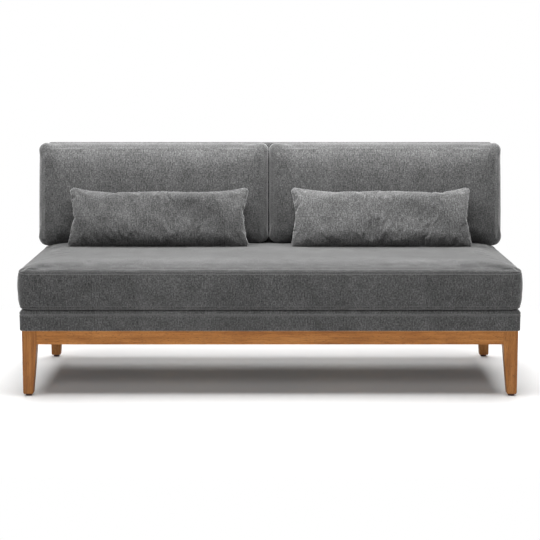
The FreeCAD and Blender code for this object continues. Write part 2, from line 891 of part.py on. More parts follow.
def deck():
    """The upholstered deck's pieces."""
    across, along = deck_webbing()
    side_rail_left = deck_short_rail(*deck_side_rail_place())
    cross_rail_left = deck_short_rail(*deck_cross_rail_place())
    return {
        "deck_cover": deck_cover(),
        "deck_pad": deck_pad(),
        "deck_webbing_across": across,
        "deck_webbing_along": along,
        "deck_front_rail": deck_front_rail(),
        "deck_rear_rail": deck_rear_rail(),
        "deck_left_rail": side_rail_left,
        "deck_right_rail": mirror_x(side_rail_left),
        "deck_left_cross_rail": cross_rail_left,
        "deck_right_cross_rail": mirror_x(cross_rail_left),
        "dust_cover": dust_cover(),
    }


def back():
    """The upholstered back's pieces."""
    across, along = back_webbing()
    posts = [post(x) for x in post_middles()]
    return {
        "back_cover": back_cover(),
        "back_pad": back_pad(),
        "back_panel": back_panel(),
        "back_top_rail": back_top_rail(),
        "back_seat_rail": back_seat_rail(),
        "back_left_post": posts[0],
        "back_left_inner_post": posts[1],
        "back_right_inner_post": posts[2],
        "back_right_post": posts[3],
        "back_webbing_across": across,
        "back_webbing_along": along,
        "back_screws": back_screws(),
    }


def cushions():
    """The loose cushions' and pillows' pieces: each has a cover round its filling."""
    fill = under_fabric
    pieces = {
        "seat_cushion_cover": seat_cushion().cut(seat_cushion(fabric_thickness)),
        "seat_cushion_foam": seat_cushion(fill),
    }
    for side, hand in ((-1, "left"), (1, "right")):
        cushion_cover = back_cushion(side).cut(back_cushion(side, fabric_thickness))
        pieces[f"{hand}_back_cushion_cover"] = cushion_cover
        pieces[f"{hand}_back_cushion_foam"] = back_cushion(side, fill)
        pieces[f"{hand}_pillow_cover"] = pillow(side).cut(pillow(side, fabric_thickness))
        pieces[f"{hand}_pillow_filling"] = pillow(side, fill)
    return pieces


def main():
    """Builds every piece and writes each to its own STEP file."""
    os.makedirs("parts", exist_ok=True)
    for name, shape in {**wood_base(), **deck(), **back(), **cushions()}.items():
        whole = Part.makeCompound(shape) if isinstance(shape, list) else shape
        whole.exportStep(f"parts/{name}.step")
        print(name, len(whole.Solids), whole.isValid(), round(whole.Volume))


main()
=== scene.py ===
# %% [markdown]
# # Dressing an armless sofa
#
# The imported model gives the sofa's frame: every rail, leg, block, strap and cushion at its
# real size and place. This lesson dresses it. The rigid parts keep their solids and get
# wood, metal and plastic finishes. The upholstery is made again here as cloth-covered
# surfaces, because fabric swells, dimples and puckers in ways that a plain solid doesn't.
#
# Everything is in metres. X runs from left to right as the sofa is seen from the front, Y
# from the front to the back, and Z is up.

# %% The frame
import math

import bpy
import numpy as np
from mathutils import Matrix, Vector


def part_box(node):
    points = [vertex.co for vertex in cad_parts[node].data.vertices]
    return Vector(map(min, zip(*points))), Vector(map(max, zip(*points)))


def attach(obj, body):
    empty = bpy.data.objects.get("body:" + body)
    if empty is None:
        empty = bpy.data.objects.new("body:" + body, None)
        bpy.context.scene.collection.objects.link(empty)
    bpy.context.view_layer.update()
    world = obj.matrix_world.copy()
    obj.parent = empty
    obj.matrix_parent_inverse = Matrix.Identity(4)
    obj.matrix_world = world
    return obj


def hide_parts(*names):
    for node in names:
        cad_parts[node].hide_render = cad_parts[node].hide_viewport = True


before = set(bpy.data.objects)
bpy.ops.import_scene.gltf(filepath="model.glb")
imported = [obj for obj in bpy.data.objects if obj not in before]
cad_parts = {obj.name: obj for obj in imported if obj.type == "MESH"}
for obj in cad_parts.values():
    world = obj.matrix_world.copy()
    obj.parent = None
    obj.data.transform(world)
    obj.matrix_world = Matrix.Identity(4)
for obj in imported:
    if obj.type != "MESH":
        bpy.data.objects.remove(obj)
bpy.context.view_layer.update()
mm = 0.001
scene = bpy.context.scene


# %% [markdown]
# ## The camera
#
# The sofa is photographed from straight in front, from a little above its back. The two
# floor lines under the feet and the widths of the front and rear legs fix the distance,
# the height and the pitch, so the camera is set from the base's front face. A long lens
# far away keeps the sides nearly parallel, as a furniture photographer does.

# %% Camera
base_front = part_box("front_left_leg")[0].y
camera_distance = 5.4529
camera_height = 1.2402
camera_pitch = math.radians(8.068)

lens = bpy.data.cameras.new("photo_lens")
lens.lens = 101.34
lens.sensor_width = 36.0
camera = bpy.data.objects.new("photo_camera", lens)
camera.location = (0.0, base_front - camera_distance, camera_height)
camera.rotation_euler = (math.pi / 2 - camera_pitch, 0.0, 0.0)
scene.collection.objects.link(camera)
scene.camera = camera
scene.view_settings.view_transform = "Standard"
print("camera at", [round(v, 3) for v in camera.location])


# %% [markdown]
# ## Light
#
# The tops of the cushions are three times as bright as their fronts, the upper edge of the
# back shines, and the foot of the back cushions is nearly black. So the main light is a wide
# softbox straight overhead. A second one behind the sofa lights the paper there and the
# upper edges, and lays a short shadow before the sofa. A weak one in front and an even, low
# world fill the fronts, which otherwise live on the light that the white floor sends back.

# %% Lamps
def softbox(name, place, aim, size, power):
    """A rectangular area lamp at a place, turned towards a point."""
    lamp = bpy.data.lights.new(name, "AREA")
    lamp.shape = "RECTANGLE"
    lamp.size, lamp.size_y = size
    lamp.energy = power
    holder = bpy.data.objects.new(name, lamp)
    holder.location = place
    holder.rotation_euler = Vector(np.subtract(aim, place)).to_track_quat("-Z", "Y").to_euler()
    scene.collection.objects.link(holder)


# Place, aim, width and length, and power in watts.
lamps = {
    "overhead_softbox": ((0.0, -0.06, 2.25), (0.0, -0.05, 0.3), (3.4, 2.1), 142.0),
    "rear_softbox": ((0.0, 2.7, 2.2), (0.0, 0.0, 0.3), (3.4, 1.0), 74.0),
    "front_softbox": ((-0.8, -4.4, 3.2), (0.0, 0.0, 0.5), (3.0, 1.4), 50.0),
}
for lamp_name, setting in lamps.items():
    softbox(lamp_name, *setting)
print(len(lamps), "softboxes")


# %% [markdown]
# ## A short way to write materials
#
# Procedural materials are trees of nodes. The first helper makes a node, sets its options
# and fills its inputs: a value is typed into the socket, and another node's output is
# linked to it. A shader is then linked to the material's output.

# %% Node helpers
def node(tree, kind, inputs=None, **options):
    """One shader node, with its inputs typed in or linked."""
    made = tree.nodes.new("ShaderNode" + kind)
    for name, value in options.items():
        setattr(made, name, value)
    for name, value in (inputs or {}).items():
        socket = made.inputs[name]
        if isinstance(value, bpy.types.NodeSocket):
            tree.links.new(value, socket)
        else:
            socket.default_value = value
    return made


def new_tree(name):
    """An empty material and its node tree."""
    material = bpy.data.materials.new(name)
    material.use_nodes = True
    material.node_tree.nodes.clear()
    return material, material.node_tree


def finish(tree, shader):
    """Links a shader to the material's output."""
    out = node(tree, "OutputMaterial")
    tree.links.new(shader.outputs[0], out.inputs["Surface"])


def principled(tree, inputs):
    """The standard surface shader, linked to the material's output."""
    finish(tree, node(tree, "BsdfPrincipled", inputs))


def reckon(tree, operation, *values):
    """What a Math node makes of one or two values."""
    return node(tree, "Math", dict(enumerate(values)), operation=operation).outputs[0]


def grey(value):
    """A neutral colour."""
    return (value, value, value, 1.0)


# %% [markdown]
# Some patterns come again in many finishes: noise of a given size, a ramp of colours, a sum
# of patterns, a bump. Each gets a name here, so that a finish reads like a recipe.

# %% Patterns
def own_place(tree):
    """The place of a point on its object, in metres."""
    return node(tree, "TexCoord").outputs["Object"]


def ramp(tree, factor, stops):
    """A colour ramp through (position, colour) stops."""
    made = node(tree, "ValToRGB", {"Fac": factor})
    elements = made.color_ramp.elements
    while len(elements) < len(stops):
        elements.new(0.5)
    for element, (position, colour) in zip(elements, stops):
        element.position = position
        element.color = colour
    return made.outputs["Color"]


def noise(tree, place, size, detail=3.0, roughness=0.55):
    """Noise whose blotches are about a size in metres, along x, y and z."""
    scale = tuple(1.0 / s for s in size)
    scaled = node(tree, "Mapping", {"Vector": place, "Scale": scale}).outputs[0]
    inputs = {"Vector": scaled, "Scale": 1.0, "Detail": detail, "Roughness": roughness}
    return node(tree, "TexNoise", inputs).outputs["Fac"]


def mixed(tree, a, b, factor):
    """Two colours mixed by a factor."""
    return node(tree, "Mix", {0: factor, 6: a, 7: b}, data_type="RGBA").outputs[2]


def sums(tree, *terms):
    """Adds (output, weight) terms."""
    total = None
    for output, weight in terms:
        part = reckon(tree, "MULTIPLY", output, weight)
        total = part if total is None else reckon(tree, "ADD", total, part)
    return total


def bumped(tree, height, strength, distance):
    """Surface directions tilted by a height pattern that is a distance deep."""
    inputs = {"Height": height, "Strength": strength, "Distance": distance}
    return node(tree, "Bump", inputs).outputs[0]


def seen_by(tree, *rays):
    """1 for the named kinds of ray and 0 for the others."""
    path = node(tree, "LightPath").outputs
    seen = path[rays[0]]
    for ray in rays[1:]:
        seen = reckon(tree, "MAXIMUM", seen, path[ray])
    return seen


# %% [markdown]
# ## The floor
#
# The photograph's floor is white paper that keeps only the sofa's shadow. A white diffuse
# surface gives the shadow. It has a little light of its own, seen by the camera and in
# reflections only, and away from the sofa that light takes over, so that the paper runs out
# to plain white without lighting the sofa.

# %% Floor and world
paper_grey = 0.80
paper_glow = 0.06
shadow_reach = (1.15, 0.65, 0.0)
shadow_fade = 0.9


def white_paper():
    """White diffuse paper that glows for the camera: faintly near the sofa, and fully beyond
    a rectangle round it."""
    material, tree = new_tree("white_paper")
    seen = seen_by(tree, "Is Camera Ray", "Is Glossy Ray", "Is Transmission Ray")
    around = node(tree, "VectorMath", {0: own_place(tree)}, operation="ABSOLUTE").outputs[0]
    beyond = node(tree, "VectorMath", {0: around, 1: shadow_reach}, operation="SUBTRACT").outputs[0]
    beyond = node(tree, "VectorMath", {0: beyond, 1: (0, 0, 0)}, operation="MAXIMUM").outputs[0]
    distance = node(tree, "VectorMath", {0: beyond}, operation="LENGTH").outputs["Value"]
    inputs = {"Value": distance, "From Min": 0.0, "From Max": shadow_fade}
    away = node(tree, "MapRange", inputs, interpolation_type="SMOOTHSTEP").outputs[0]
    away = reckon(tree, "MULTIPLY", away, seen)
    faint = reckon(tree, "MULTIPLY", seen, paper_glow)
    paper = node(tree, "BsdfDiffuse", {"Color": grey(paper_grey)}).outputs[0]
    glow = node(tree, "Emission", {"Color": grey(1.0), "Strength": faint}).outputs[0]
    near = node(tree, "AddShader", {0: paper, 1: glow}).outputs[0]
    white = node(tree, "Emission", {"Color": grey(1.0), "Strength": 1.0}).outputs[0]
    finish(tree, node(tree, "MixShader", {0: away, 1: near, 2: white}))
    return material


def floor(reach):
    """A wide flat sheet under the sofa."""
    corners = [(-reach, -reach, 0), (reach, -reach, 0), (reach, reach, 0), (-reach, reach, 0)]
    mesh = bpy.data.meshes.new("floor")
    mesh.from_pydata(corners, [], [(0, 1, 2, 3)])
    mesh.materials.append(white_paper())
    sheet = bpy.data.objects.new("floor", mesh)
    scene.collection.objects.link(sheet)


def studio_world(strength):
    """A low even light, white to the camera."""
    world = bpy.data.worlds.new("studio")
    world.use_nodes = True
    tree = world.node_tree
    tree.nodes.clear()
    seen = seen_by(tree, "Is Camera Ray", "Is Transmission Ray")
    even = node(tree, "Background", {"Color": grey(1.0), "Strength": strength}).outputs[0]
    white = node(tree, "Background", {"Color": grey(1.0), "Strength": 1.0}).outputs[0]
    shader = node(tree, "MixShader", {0: seen, 1: even, 2: white})
    out = node(tree, "OutputWorld")
    tree.links.new(shader.outputs[0], out.inputs["Surface"])
    scene.world = world


floor(reach=40.0)
studio_world(strength=0.05)
print("paper keeps the shadow within", shadow_reach[:2], "m of the middle")


# %% [markdown]
# ## Chenille
#
# The upholstery is a heathered grey chenille: short pile on a coarse weave. Close up it is
# a mesh of light and dark tufts about 2 mm wide. From a step away the tufts gather into
# fine streaks along the warp, and the brushed pile leaves cloudy patches. The pattern reads
# each piece's own map, which is in metres, so the tufts have one size on every piece and
# the streaks run up the fronts and back over the seats. A seam is paler: partly the pile
# pressed open along it, partly a painted sheen. Painted shade darkens the front of the
# seat's top and the foot of the back cushions in streaks. An attribute says where for each.

# %% Chenille and thread
def chenille(name, depth=0.084, mottle=1.0):
    """Chenille of an average depth of grey, with painted shade and a partly painted seam sheen;
    mottle strengthens its clouds.
    """
    material, tree = new_tree(name)
    place = node(tree, "UVMap", uv_map="weave").outputs[0]
    tufts = noise(tree, place, (0.0050, 0.0064, 1.0), 3.0, 0.7)
    streaks = noise(tree, place, (0.0050, 0.022, 1.0))
    clouds = noise(tree, place, (0.055, 0.080, 1.0), 3.0, 0.6)
    broad = noise(tree, place, (0.35, 0.35, 1.0), 2.0)
    weights = (0.52, 0.26, 0.13 * mottle, 0.10)
    tone = sums(tree, *zip((tufts, streaks, clouds, broad), weights))
    middle, spread = 0.5 * sum(weights), 0.11
    shades = [grey(depth * 0.36), grey(depth), grey(depth * 2.0)]
    colour = ramp(tree, tone, list(zip((middle - spread, middle, middle + spread), shades)))
    # Painted shade: the colour darkens in streaks where the point attribute says.
    streaky = noise(tree, place, (0.05, 0.022, 1.0))
    shade_patches = ramp(tree, streaky, [(0.38, grey(0.45)), (0.58, grey(1.0))])
    painted_shade = node(tree, "Attribute", attribute_name="painted_shade").outputs["Fac"]
    colour = mixed(tree, colour, grey(depth * 0.28), reckon(tree, "MULTIPLY", painted_shade, shade_patches))
    # Paler seams: partly pile pressed open, partly painted sheen.
    seam_sheen_and_wear_share = node(tree, "Attribute", attribute_name="seam_sheen_and_wear").outputs["Fac"]
    colour = mixed(tree, colour, grey(min(depth * 3.2, 0.4)), seam_sheen_and_wear_share)
    cloth = {
        "Base Color": colour,
        "Roughness": 0.95,
        "Specular IOR Level": 0.2,
        "Sheen Weight": 0.8,
        "Sheen Roughness": 0.4,
        "Sheen Tint": grey(0.8),
        "Normal": bumped(tree, sums(tree, (tufts, 0.7), (streaks, 0.3)), 0.5, 0.0015),
    }
    principled(tree, cloth)
    return material


def thread(name, shade):
    """Sewing thread, a little lighter than the cloth, with a fine twist."""
    material, tree = new_tree(name)
    twist = noise(tree, own_place(tree), (0.0008, 0.0008, 0.0008), 2.0)
    colour = ramp(tree, twist, [(0.3, grey(shade * 0.75)), (0.7, grey(shade * 1.2))])
    principled(tree, {"Base Color": colour, "Roughness": 0.6, "Sheen Weight": 0.3})
    return material


grey_chenille = chenille("grey_chenille")
left_pillow_chenille = chenille("left_pillow_chenille", 0.078, 1.5)
right_pillow_chenille = chenille("right_pillow_chenille", 0.105, 0.9)
grey_thread = thread("grey_thread", 0.26)
print("three chenilles and a thread")


# %% [markdown]
# ## Wood
#
# The base is solid wood, stained golden brown under a satin coat. A board's grain is the
# trunk's rings cut lengthways: long, slightly wavy bands, with short dark pores along them.
# Noise stretched about thirty times along the grain gives both. The grain runs along each
# piece, so the rails and the legs have their own finishes, which differ only in direction.

# %% Show wood
grain_axes = {"x": (1, 0, 0), "y": (0, 1, 0), "z": (0, 0, 1)}
stain = np.array([(0.235, 0.078, 0.015), (0.385, 0.147, 0.030), (0.50, 0.215, 0.055)])


def grain_size(axis, along, across):
    """Blotch size for noise stretched along one axis."""
    return tuple(along if on else across for on in grain_axes[axis])


def stained_wood(name, axis, shift=0.0, pale=1.0):
    """Golden-brown stained wood with its grain along one axis; shift moves the pattern, so
    that no two pieces are cut from one board, and pale lightens a board."""
    material, tree = new_tree(name)
    moved = {"Vector": own_place(tree), "Location": (shift, 2.3 * shift, 1.7 * shift)}
    place = node(tree, "Mapping", moved).outputs[0]
    bands = noise(tree, place, grain_size(axis, 0.50, 0.016), 4.0, 0.6)
    fibres = noise(tree, place, grain_size(axis, 0.060, 0.0022), 3.0, 0.65)
    pores = noise(tree, place, grain_size(axis, 0.012, 0.0011), 2.0, 0.5)
    cloud = noise(tree, place, grain_size(axis, 0.14, 0.06), 2.0)
    tone = sums(tree, (bands, 0.42), (fibres, 0.33), (cloud, 0.25))
    shades = [tuple(shade) + (1.0,) for shade in (stain * pale).tolist()]
    colour = ramp(tree, tone, list(zip((0.38, 0.50, 0.63), shades)))
    limits = {"Value": pores, "From Min": 0.30, "From Max": 0.40}
    open_pores = node(tree, "MapRange", limits).outputs[0]
    wood = {
        "Base Color": mixed(tree, (0.12, 0.045, 0.013, 1), colour, open_pores),
        "Roughness": node(tree, "MapRange", {"Value": fibres, "To Min": 0.36, "To Max": 0.52}).outputs[0],
        "Specular IOR Level": 0.3,
        "Coat Weight": 0.08,
        "Coat Roughness": 0.3,
        "Normal": bumped(tree, sums(tree, (fibres, 0.4), (open_pores, 0.6)), 0.22, 0.0005),
    }
    principled(tree, wood)
    return material


def dress(names, material):
    """Gives CAD nodes their finish."""
    for name in names:
        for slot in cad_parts[name].material_slots:
            slot.material = material
    print(material.name, "on", len(names))


dress(["front_rail"], stained_wood("stained_wood_front", "x", pale=1.18))
dress(["rear_rail"], stained_wood("stained_wood_rear", "x", 1.3))
dress(["left_rail"], stained_wood("stained_wood_left", "y", 0.4))
dress(["right_rail"], stained_wood("stained_wood_right", "y", 2.1))
for count, corner in enumerate(("front_left", "front_right", "rear_left", "rear_right")):
    dress([f"{corner}_leg"], stained_wood(f"stained_wood_{corner}_leg", "z", 0.7 * count + 0.2))


# %% [markdown]
# ## The materials inside and below
#
# The hidden parts are finished too, because the sofa is also seen from behind and below,
# and with its cushions off: planed pale softwood, cream foam, ribbed elastic webbing,
# hardboard, thin black cloth, moulded plastic and zinc-plated steel.

# %% Hidden finishes
def speckled(name, colours, size, roughness, bump_strength, metallic=0.0):
    """A finish of one noise on the object's coordinates: dark, middle and light colours."""
    material, tree = new_tree(name)
    tone = noise(tree, own_place(tree), size, 4.0, 0.6)
    stops = [(position, (*colour, 1.0)) for position, colour in zip((0.35, 0.5, 0.65), colours)]
    inputs = {
        "Base Color": ramp(tree, tone, stops),
        "Roughness": roughness,
        "Metallic": metallic,
        "Normal": bumped(tree, tone, bump_strength, 0.0006),
    }
    principled(tree, inputs)
    return material


def planed_softwood(name, axis):
    """Pale sawn and planed timber with its grain along one axis."""
    shades = ((0.46, 0.30, 0.16), (0.60, 0.43, 0.25), (0.72, 0.55, 0.35))
    return speckled(name, shades, grain_size(axis, 0.20, 0.006), 0.7, 0.25)


def ribbed_webbing(name, axis):
    """Dark elastic strap with fine ribs across it."""
    material, tree = new_tree(name)
    place = own_place(tree)
    along = node(tree, "SeparateXYZ", {0: place}).outputs[axis.upper()]
    rib = 0.0035
    ribs = reckon(tree, "SINE", reckon(tree, "MULTIPLY", along, 2 * math.pi / rib))
    fuzz = noise(tree, place, (0.002, 0.002, 0.002))
    tone = sums(tree, (ribs, 0.25), (fuzz, 0.75))
    colour = ramp(tree, tone, [(0.2, (0.02, 0.017, 0.015, 1)), (0.6, (0.075, 0.065, 0.055, 1))])
    normal = bumped(tree, tone, 0.5, 0.0008)
    principled(tree, {"Base Color": colour, "Roughness": 0.85, "Normal": normal})
    return material


cream = ((0.66, 0.58, 0.40), (0.78, 0.71, 0.52), (0.86, 0.80, 0.62))
dress(["deck_pad", "back_pad"], speckled("cream_foam", cream, (0.002, 0.002, 0.002), 0.95, 0.4))
brown = ((0.20, 0.115, 0.055), (0.28, 0.17, 0.085), (0.35, 0.22, 0.115))
dress(["back_panel"], speckled("hardboard", brown, (0.004, 0.004, 0.004), 0.75, 0.2))
black = ((0.010, 0.010, 0.011), (0.020, 0.020, 0.022), (0.036, 0.036, 0.038))
dress(["dust_cover"], speckled("black_dust_cloth", black, (0.0015, 0.006, 0.002), 0.9, 0.5))
red_brown = ((0.035, 0.011, 0.008), (0.055, 0.017, 0.012), (0.075, 0.024, 0.017))
dress(["glides"], speckled("glide_plastic", red_brown, (0.003, 0.003, 0.003), 0.42, 0.1))
zinc = ((0.46, 0.47, 0.49), (0.58, 0.59, 0.61), (0.68, 0.68, 0.68))
zinc_steel = speckled("zinc_steel", zinc, (0.004, 0.004, 0.004), 0.35, 0.08, metallic=1.0)
dress(["corner_bolts", "back_screws"], zinc_steel)


# %% [markdown]
# The timber is one finish in three directions, because the grain follows each board. The
# webbing's ribs likewise run across each strap.

# %% Softwood and webbing
rails_x = ["deck_front_rail", "deck_rear_rail", "back_top_rail", "back_seat_rail", "corner_blocks"]
rails_y = ["deck_left_rail", "deck_right_rail", "deck_left_cross_rail", "deck_right_cross_rail"]
rails_y += ["left_stretcher", "right_stretcher"]
posts = ["back_left_post", "back_left_inner_post", "back_right_inner_post", "back_right_post"]
dress(rails_x, planed_softwood("softwood_across", "x"))
dress(rails_y, planed_softwood("softwood_deep", "y"))
dress(posts, planed_softwood("softwood_upright", "z"))
dress(["deck_webbing_across", "back_webbing_across"], ribbed_webbing("webbing_across", "x"))
dress(["deck_webbing_along"], ribbed_webbing("webbing_deep", "y"))
dress(["back_webbing_along"], ribbed_webbing("webbing_upright", "z"))


# %% [markdown]
# ## Surfaces made of rows
#
# A box cushion is one closed skin. A belt goes round it: it starts on the underside, turns
# up the side panel and ends on the top, just past the upper seam. Two plain panels close
# the underside and the top. Each is a grid of points, so each can be worked out as one
# array. The belt's rows lie close together near the seams, where the cloth bends sharply,
# and far apart between them.

# %% Rounded rectangles
def walk(across, deep, arc):
    """The way round a rounded rectangle in fixed steps. For each point it gives the heading
    of the outward direction, and the shares of the way between the corner centres in x and
    in y. Each side has half an arc, a straight run and half an arc, starting at the front
    left corner."""
    headings, share_x, share_y = [], [], []
    for side, steps in enumerate((across, deep, across, deep)):
        along = np.concatenate([np.zeros(arc), np.linspace(0, 1, steps + 1), np.ones(arc)])[:-1]
        start = 225.0 + 90.0 * side
        turn = [np.linspace(0, 45, arc + 1)[:-1], np.full(steps + 1, 45.0), np.linspace(45, 90, arc + 1)[1:]]
        headings.append(np.radians(start + np.concatenate(turn)[:-1]))
        fixed = np.full_like(along, 1.0 if side in (1, 2) else 0.0)
        moving = along if side < 2 else 1.0 - along
        share_x.append(moving if side % 2 == 0 else fixed)
        share_y.append(fixed if side % 2 == 0 else moving)
    return np.concatenate(headings), np.concatenate(share_x), np.concatenate(share_y)


def outline(way, x_range, y_range, radius):
    """Points round a level rounded rectangle: corner centre plus radius times heading."""
    heading, share_x, share_y = way
    centre_x = x_range[0] + radius + share_x * (x_range[1] - x_range[0] - 2 * radius)
    centre_y = y_range[0] + radius + share_y * (y_range[1] - y_range[0] - 2 * radius)
    return np.stack([centre_x + radius * np.cos(heading), centre_y + radius * np.sin(heading)], -1)


def walk_in_steps(width, depth, radius, arc_steps, step):
    """The way round a rounded rectangle of a size, its sides in steps of about one length,
    and the numbers of steps across and deep."""
    straight_x = round((width - 2 * radius) / step)
    straight_y = round((depth - 2 * radius) / step)
    way = walk(straight_x, straight_y, arc_steps)
    return way, straight_x + 2 * arc_steps, straight_y + 2 * arc_steps


def looped(values):
    """Values round a loop, with the first one again at the end."""
    return np.concatenate([values, values[:1]])


def four_sides(loop, across, deep):
    """A loop's near, right, far and left side, each from left to right or from near to far."""
    n, m = across, deep
    loop = looped(loop)
    return loop[: n + 1], loop[n : n + m + 1], loop[n + m : 2 * n + m + 1][::-1], loop[2 * n + m :][::-1]


def patch(loop, across, deep):
    """A grid inside a closed loop of points: the sum of the blends between opposite sides,
    less the blend of the four corners."""
    near, right, far, left = four_sides(loop, across, deep)
    u = np.linspace(0, 1, across + 1)[:, None, None]
    v = np.linspace(0, 1, deep + 1)[None, :, None]
    sides = (1 - v) * near[:, None] + v * far[:, None] + (1 - u) * left[None] + u * right[None]
    corners = (1 - u) * ((1 - v) * near[0] + v * far[0]) + u * ((1 - v) * near[-1] + v * far[-1])
    return sides - corners


print("way round a 4 by 2 rectangle:", len(walk(4, 2, 3)[0]), "points")


# %% [markdown]
# A few short tools follow, each on whole arrays: the faces of a grid, lengths along a line,
# directions of length 1 and the outward directions of a surface.

# %% Tools for lines and grids
def quads(ids):
    """Faces of a grid of vertex numbers, four corners each."""
    a, b = ids[:-1, :-1], ids[1:, :-1]
    c, d = ids[1:, 1:], ids[:-1, 1:]
    return np.stack([a, b, c, d], -1).reshape(-1, 4)


def raised(flat, height):
    """Flat points with a height added as their third coordinate."""
    return np.concatenate([flat, np.broadcast_to(height, flat.shape[:-1])[..., None]], -1)


def unit(vectors):
    """Vectors divided by their length."""
    return vectors / np.maximum(np.linalg.norm(vectors, axis=-1, keepdims=True), 1e-12)


def summed(steps):
    """Running sum of steps, from zero."""
    return np.concatenate([[0], np.cumsum(steps)])


def run_along(points):
    """Distance of each point from the first, along the line through them."""
    return summed(np.linalg.norm(np.diff(points, axis=0), axis=1))


def read_at(places, along, values):
    """Values at places along a line, on straight runs between its points."""
    return np.stack([np.interp(places, along, column) for column in values.T], -1)


def way_along(belt):
    """Distance round the belt at its widest, and distance across it, both in metres."""
    steps = np.linalg.norm(np.diff(looped(belt), axis=0), axis=-1).max(1)
    rise = np.linalg.norm(np.diff(belt, axis=1), axis=-1).mean(0)
    return summed(steps), summed(rise)


def grid_normals(points, closed):
    """Outward directions of a grid: the cross product of its two directions."""
    if closed:
        wrapped = np.concatenate([points[-1:], points, points[:1]])
        along = (wrapped[2:] - wrapped[:-2]) / 2
    else:
        along = np.gradient(points, axis=0)
    return unit(np.cross(along, np.gradient(points, axis=1)))


# %% [markdown]
# ## From arrays to pieces
#
# The belt and the two panels become one mesh in which the panels share the belt's edge
# points, so that no gap opens. A finished piece then says where it belongs: on which body
# it rides, which material slot it takes and which solids it stands for.

# %% Meshes and their places
def mesh_object(name, points, faces, material, weave=None, sheen_and_wear=None, painted_shade=None, smooth=True):
    """An object from whole arrays, with its weave map in metres and, at each point, the share
    of paler seam colour, partly pressed pile and partly painted sheen, and of painted shade."""
    mesh = bpy.data.meshes.new(name)
    mesh.from_pydata(points.tolist(), [], faces.tolist())
    mesh.materials.append(material)
    mesh.polygons.foreach_set("use_smooth", np.full(len(mesh.polygons), smooth))
    if weave is not None:
        layer = mesh.uv_layers.new(name="weave")
        layer.data.foreach_set("uv", weave.astype(np.float32).ravel())
    # Point attributes: paler seams (pressed pile and painted sheen) and painted shade.
    for label, values in (("seam_sheen_and_wear", sheen_and_wear), ("painted_shade", painted_shade)):
        if values is not None:
            layer = mesh.attributes.new(label, "FLOAT", "POINT")
            layer.data.foreach_set("value", values.astype(np.float32))
    mesh.update()
    made = bpy.data.objects.new(name, mesh)
    scene.collection.objects.link(made)
    return made


def belong(made, body, nodes=()):
    """Says a piece's body and the nodes it stands for."""
    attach(made, body)
    if nodes:
        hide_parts(*nodes)
    print(made.name, "on", body, len(made.data.polygons), "faces")


# %% [markdown]
# The shell numbers the belt's points first and the panels' inner points after them. The
# weave map unrolls the same grids flat, so that the cloth's threads run along each piece.

# %% Shells and their weave
def shell(belt, under, over):
    """Points, faces and vertex numbers of a belt and of the panels that close its first and
    last rows. The panels share the belt's points along their edges, and faces point out."""
    across, deep = under.shape[0] - 1, under.shape[1] - 1
    ids = [np.arange(belt.shape[0] * belt.shape[1]).reshape(belt.shape[:2])]
    count = ids[0].size
    inner = (across - 1, deep - 1)
    for row in (0, -1):
        panel = np.zeros((across + 1, deep + 1), int)
        panel[:, 0], panel[-1, :], panel[:, -1], panel[0, :] = four_sides(ids[0][:, row], across, deep)
        panel[1:-1, 1:-1] = count + np.arange(inner[0] * inner[1]).reshape(inner)
        count += inner[0] * inner[1]
        ids.append(panel)
    points = np.zeros((count, 3))
    for numbers, grid in ((ids[1], under), (ids[2], over), (ids[0], belt)):
        points[numbers] = grid
    return points, [quads(looped(ids[0])), quads(ids[1])[:, ::-1], quads(ids[2])], ids


def weave_map(belt, under, over):
    """Weave coordinates for each corner of each face, in metres: across and along the warp.
    The panels use their flat place, and the belt the distance round and across it."""
    u, v = np.meshgrid(*way_along(belt), indexing="ij")
    local = np.arange(u.size).reshape(u.shape)
    parts = [np.stack([u, v], -1).reshape(-1, 2)[quads(local)]]
    for grid, turned in ((under, True), (over, False)):
        flat = grid[..., :2].reshape(-1, 2)
        chosen = quads(np.arange(len(flat)).reshape(grid.shape[:2]))
        parts.append(flat[chosen[:, ::-1] if turned else chosen])
    return parts


# %% [markdown]
# ## Box cushions
#
# The seat cushion and the two back cushions are foam blocks in a sewn cover: a top panel,
# a bottom panel and a side band. The foam holds them square, and the fibre round it makes
# the top swell in a quarter of an ellipse from the seam and the band swell between its two
# seams. The sizes are those of the solids.

# %% How a cushion swells
def quarter(share):
    """Rise of a quarter ellipse: 0 on the seam and 1 where it levels out."""
    return np.sqrt(np.clip(1 - (1 - np.clip(share, 0, 1)) ** 2, 0, 1))


def eased(share):
    """A rise that starts at the slope of a swollen side band and levels out slowly."""
    return 1 - (1 - np.clip(share, 0, 1)) ** 3.6


def inwards(x, y, x_range, y_range, radius, runs):
    """How far in from a rounded rectangle a point lies: 0 on the outline and 1 where each
    side has moved in by its own run. Halving the interval finds it for all points at once."""
    near, end, far = runs
    low, high = np.zeros_like(x), np.ones_like(x)
    for _ in range(22):
        middle = (low + high) / 2
        x0, x1 = x_range[0] + end * middle + radius, x_range[1] - end * middle - radius
        y0, y1 = y_range[0] + near * middle + radius, y_range[1] - far * middle - radius
        beyond_x = np.maximum(np.maximum(x0 - x, x - x1), 0)
        beyond_y = np.maximum(np.maximum(y0 - y, y - y1), 0)
        inside = np.hypot(beyond_x, beyond_y) <= radius
        low, high = np.where(inside, middle, low), np.where(inside, high, middle)
    return low


print("risen at a quarter of the way in:", quarter(0.25).round(2), "or", eased(0.25).round(2))


# %% [markdown]
# The class below keeps a cushion's sizes and works out its three grids. Rows lie at fixed
# distances from each seam, first a little apart and then more, so that the seams can be
# pressed in sharply afterwards.

# %% The grids of a box cushion
point_step = 12 * mm


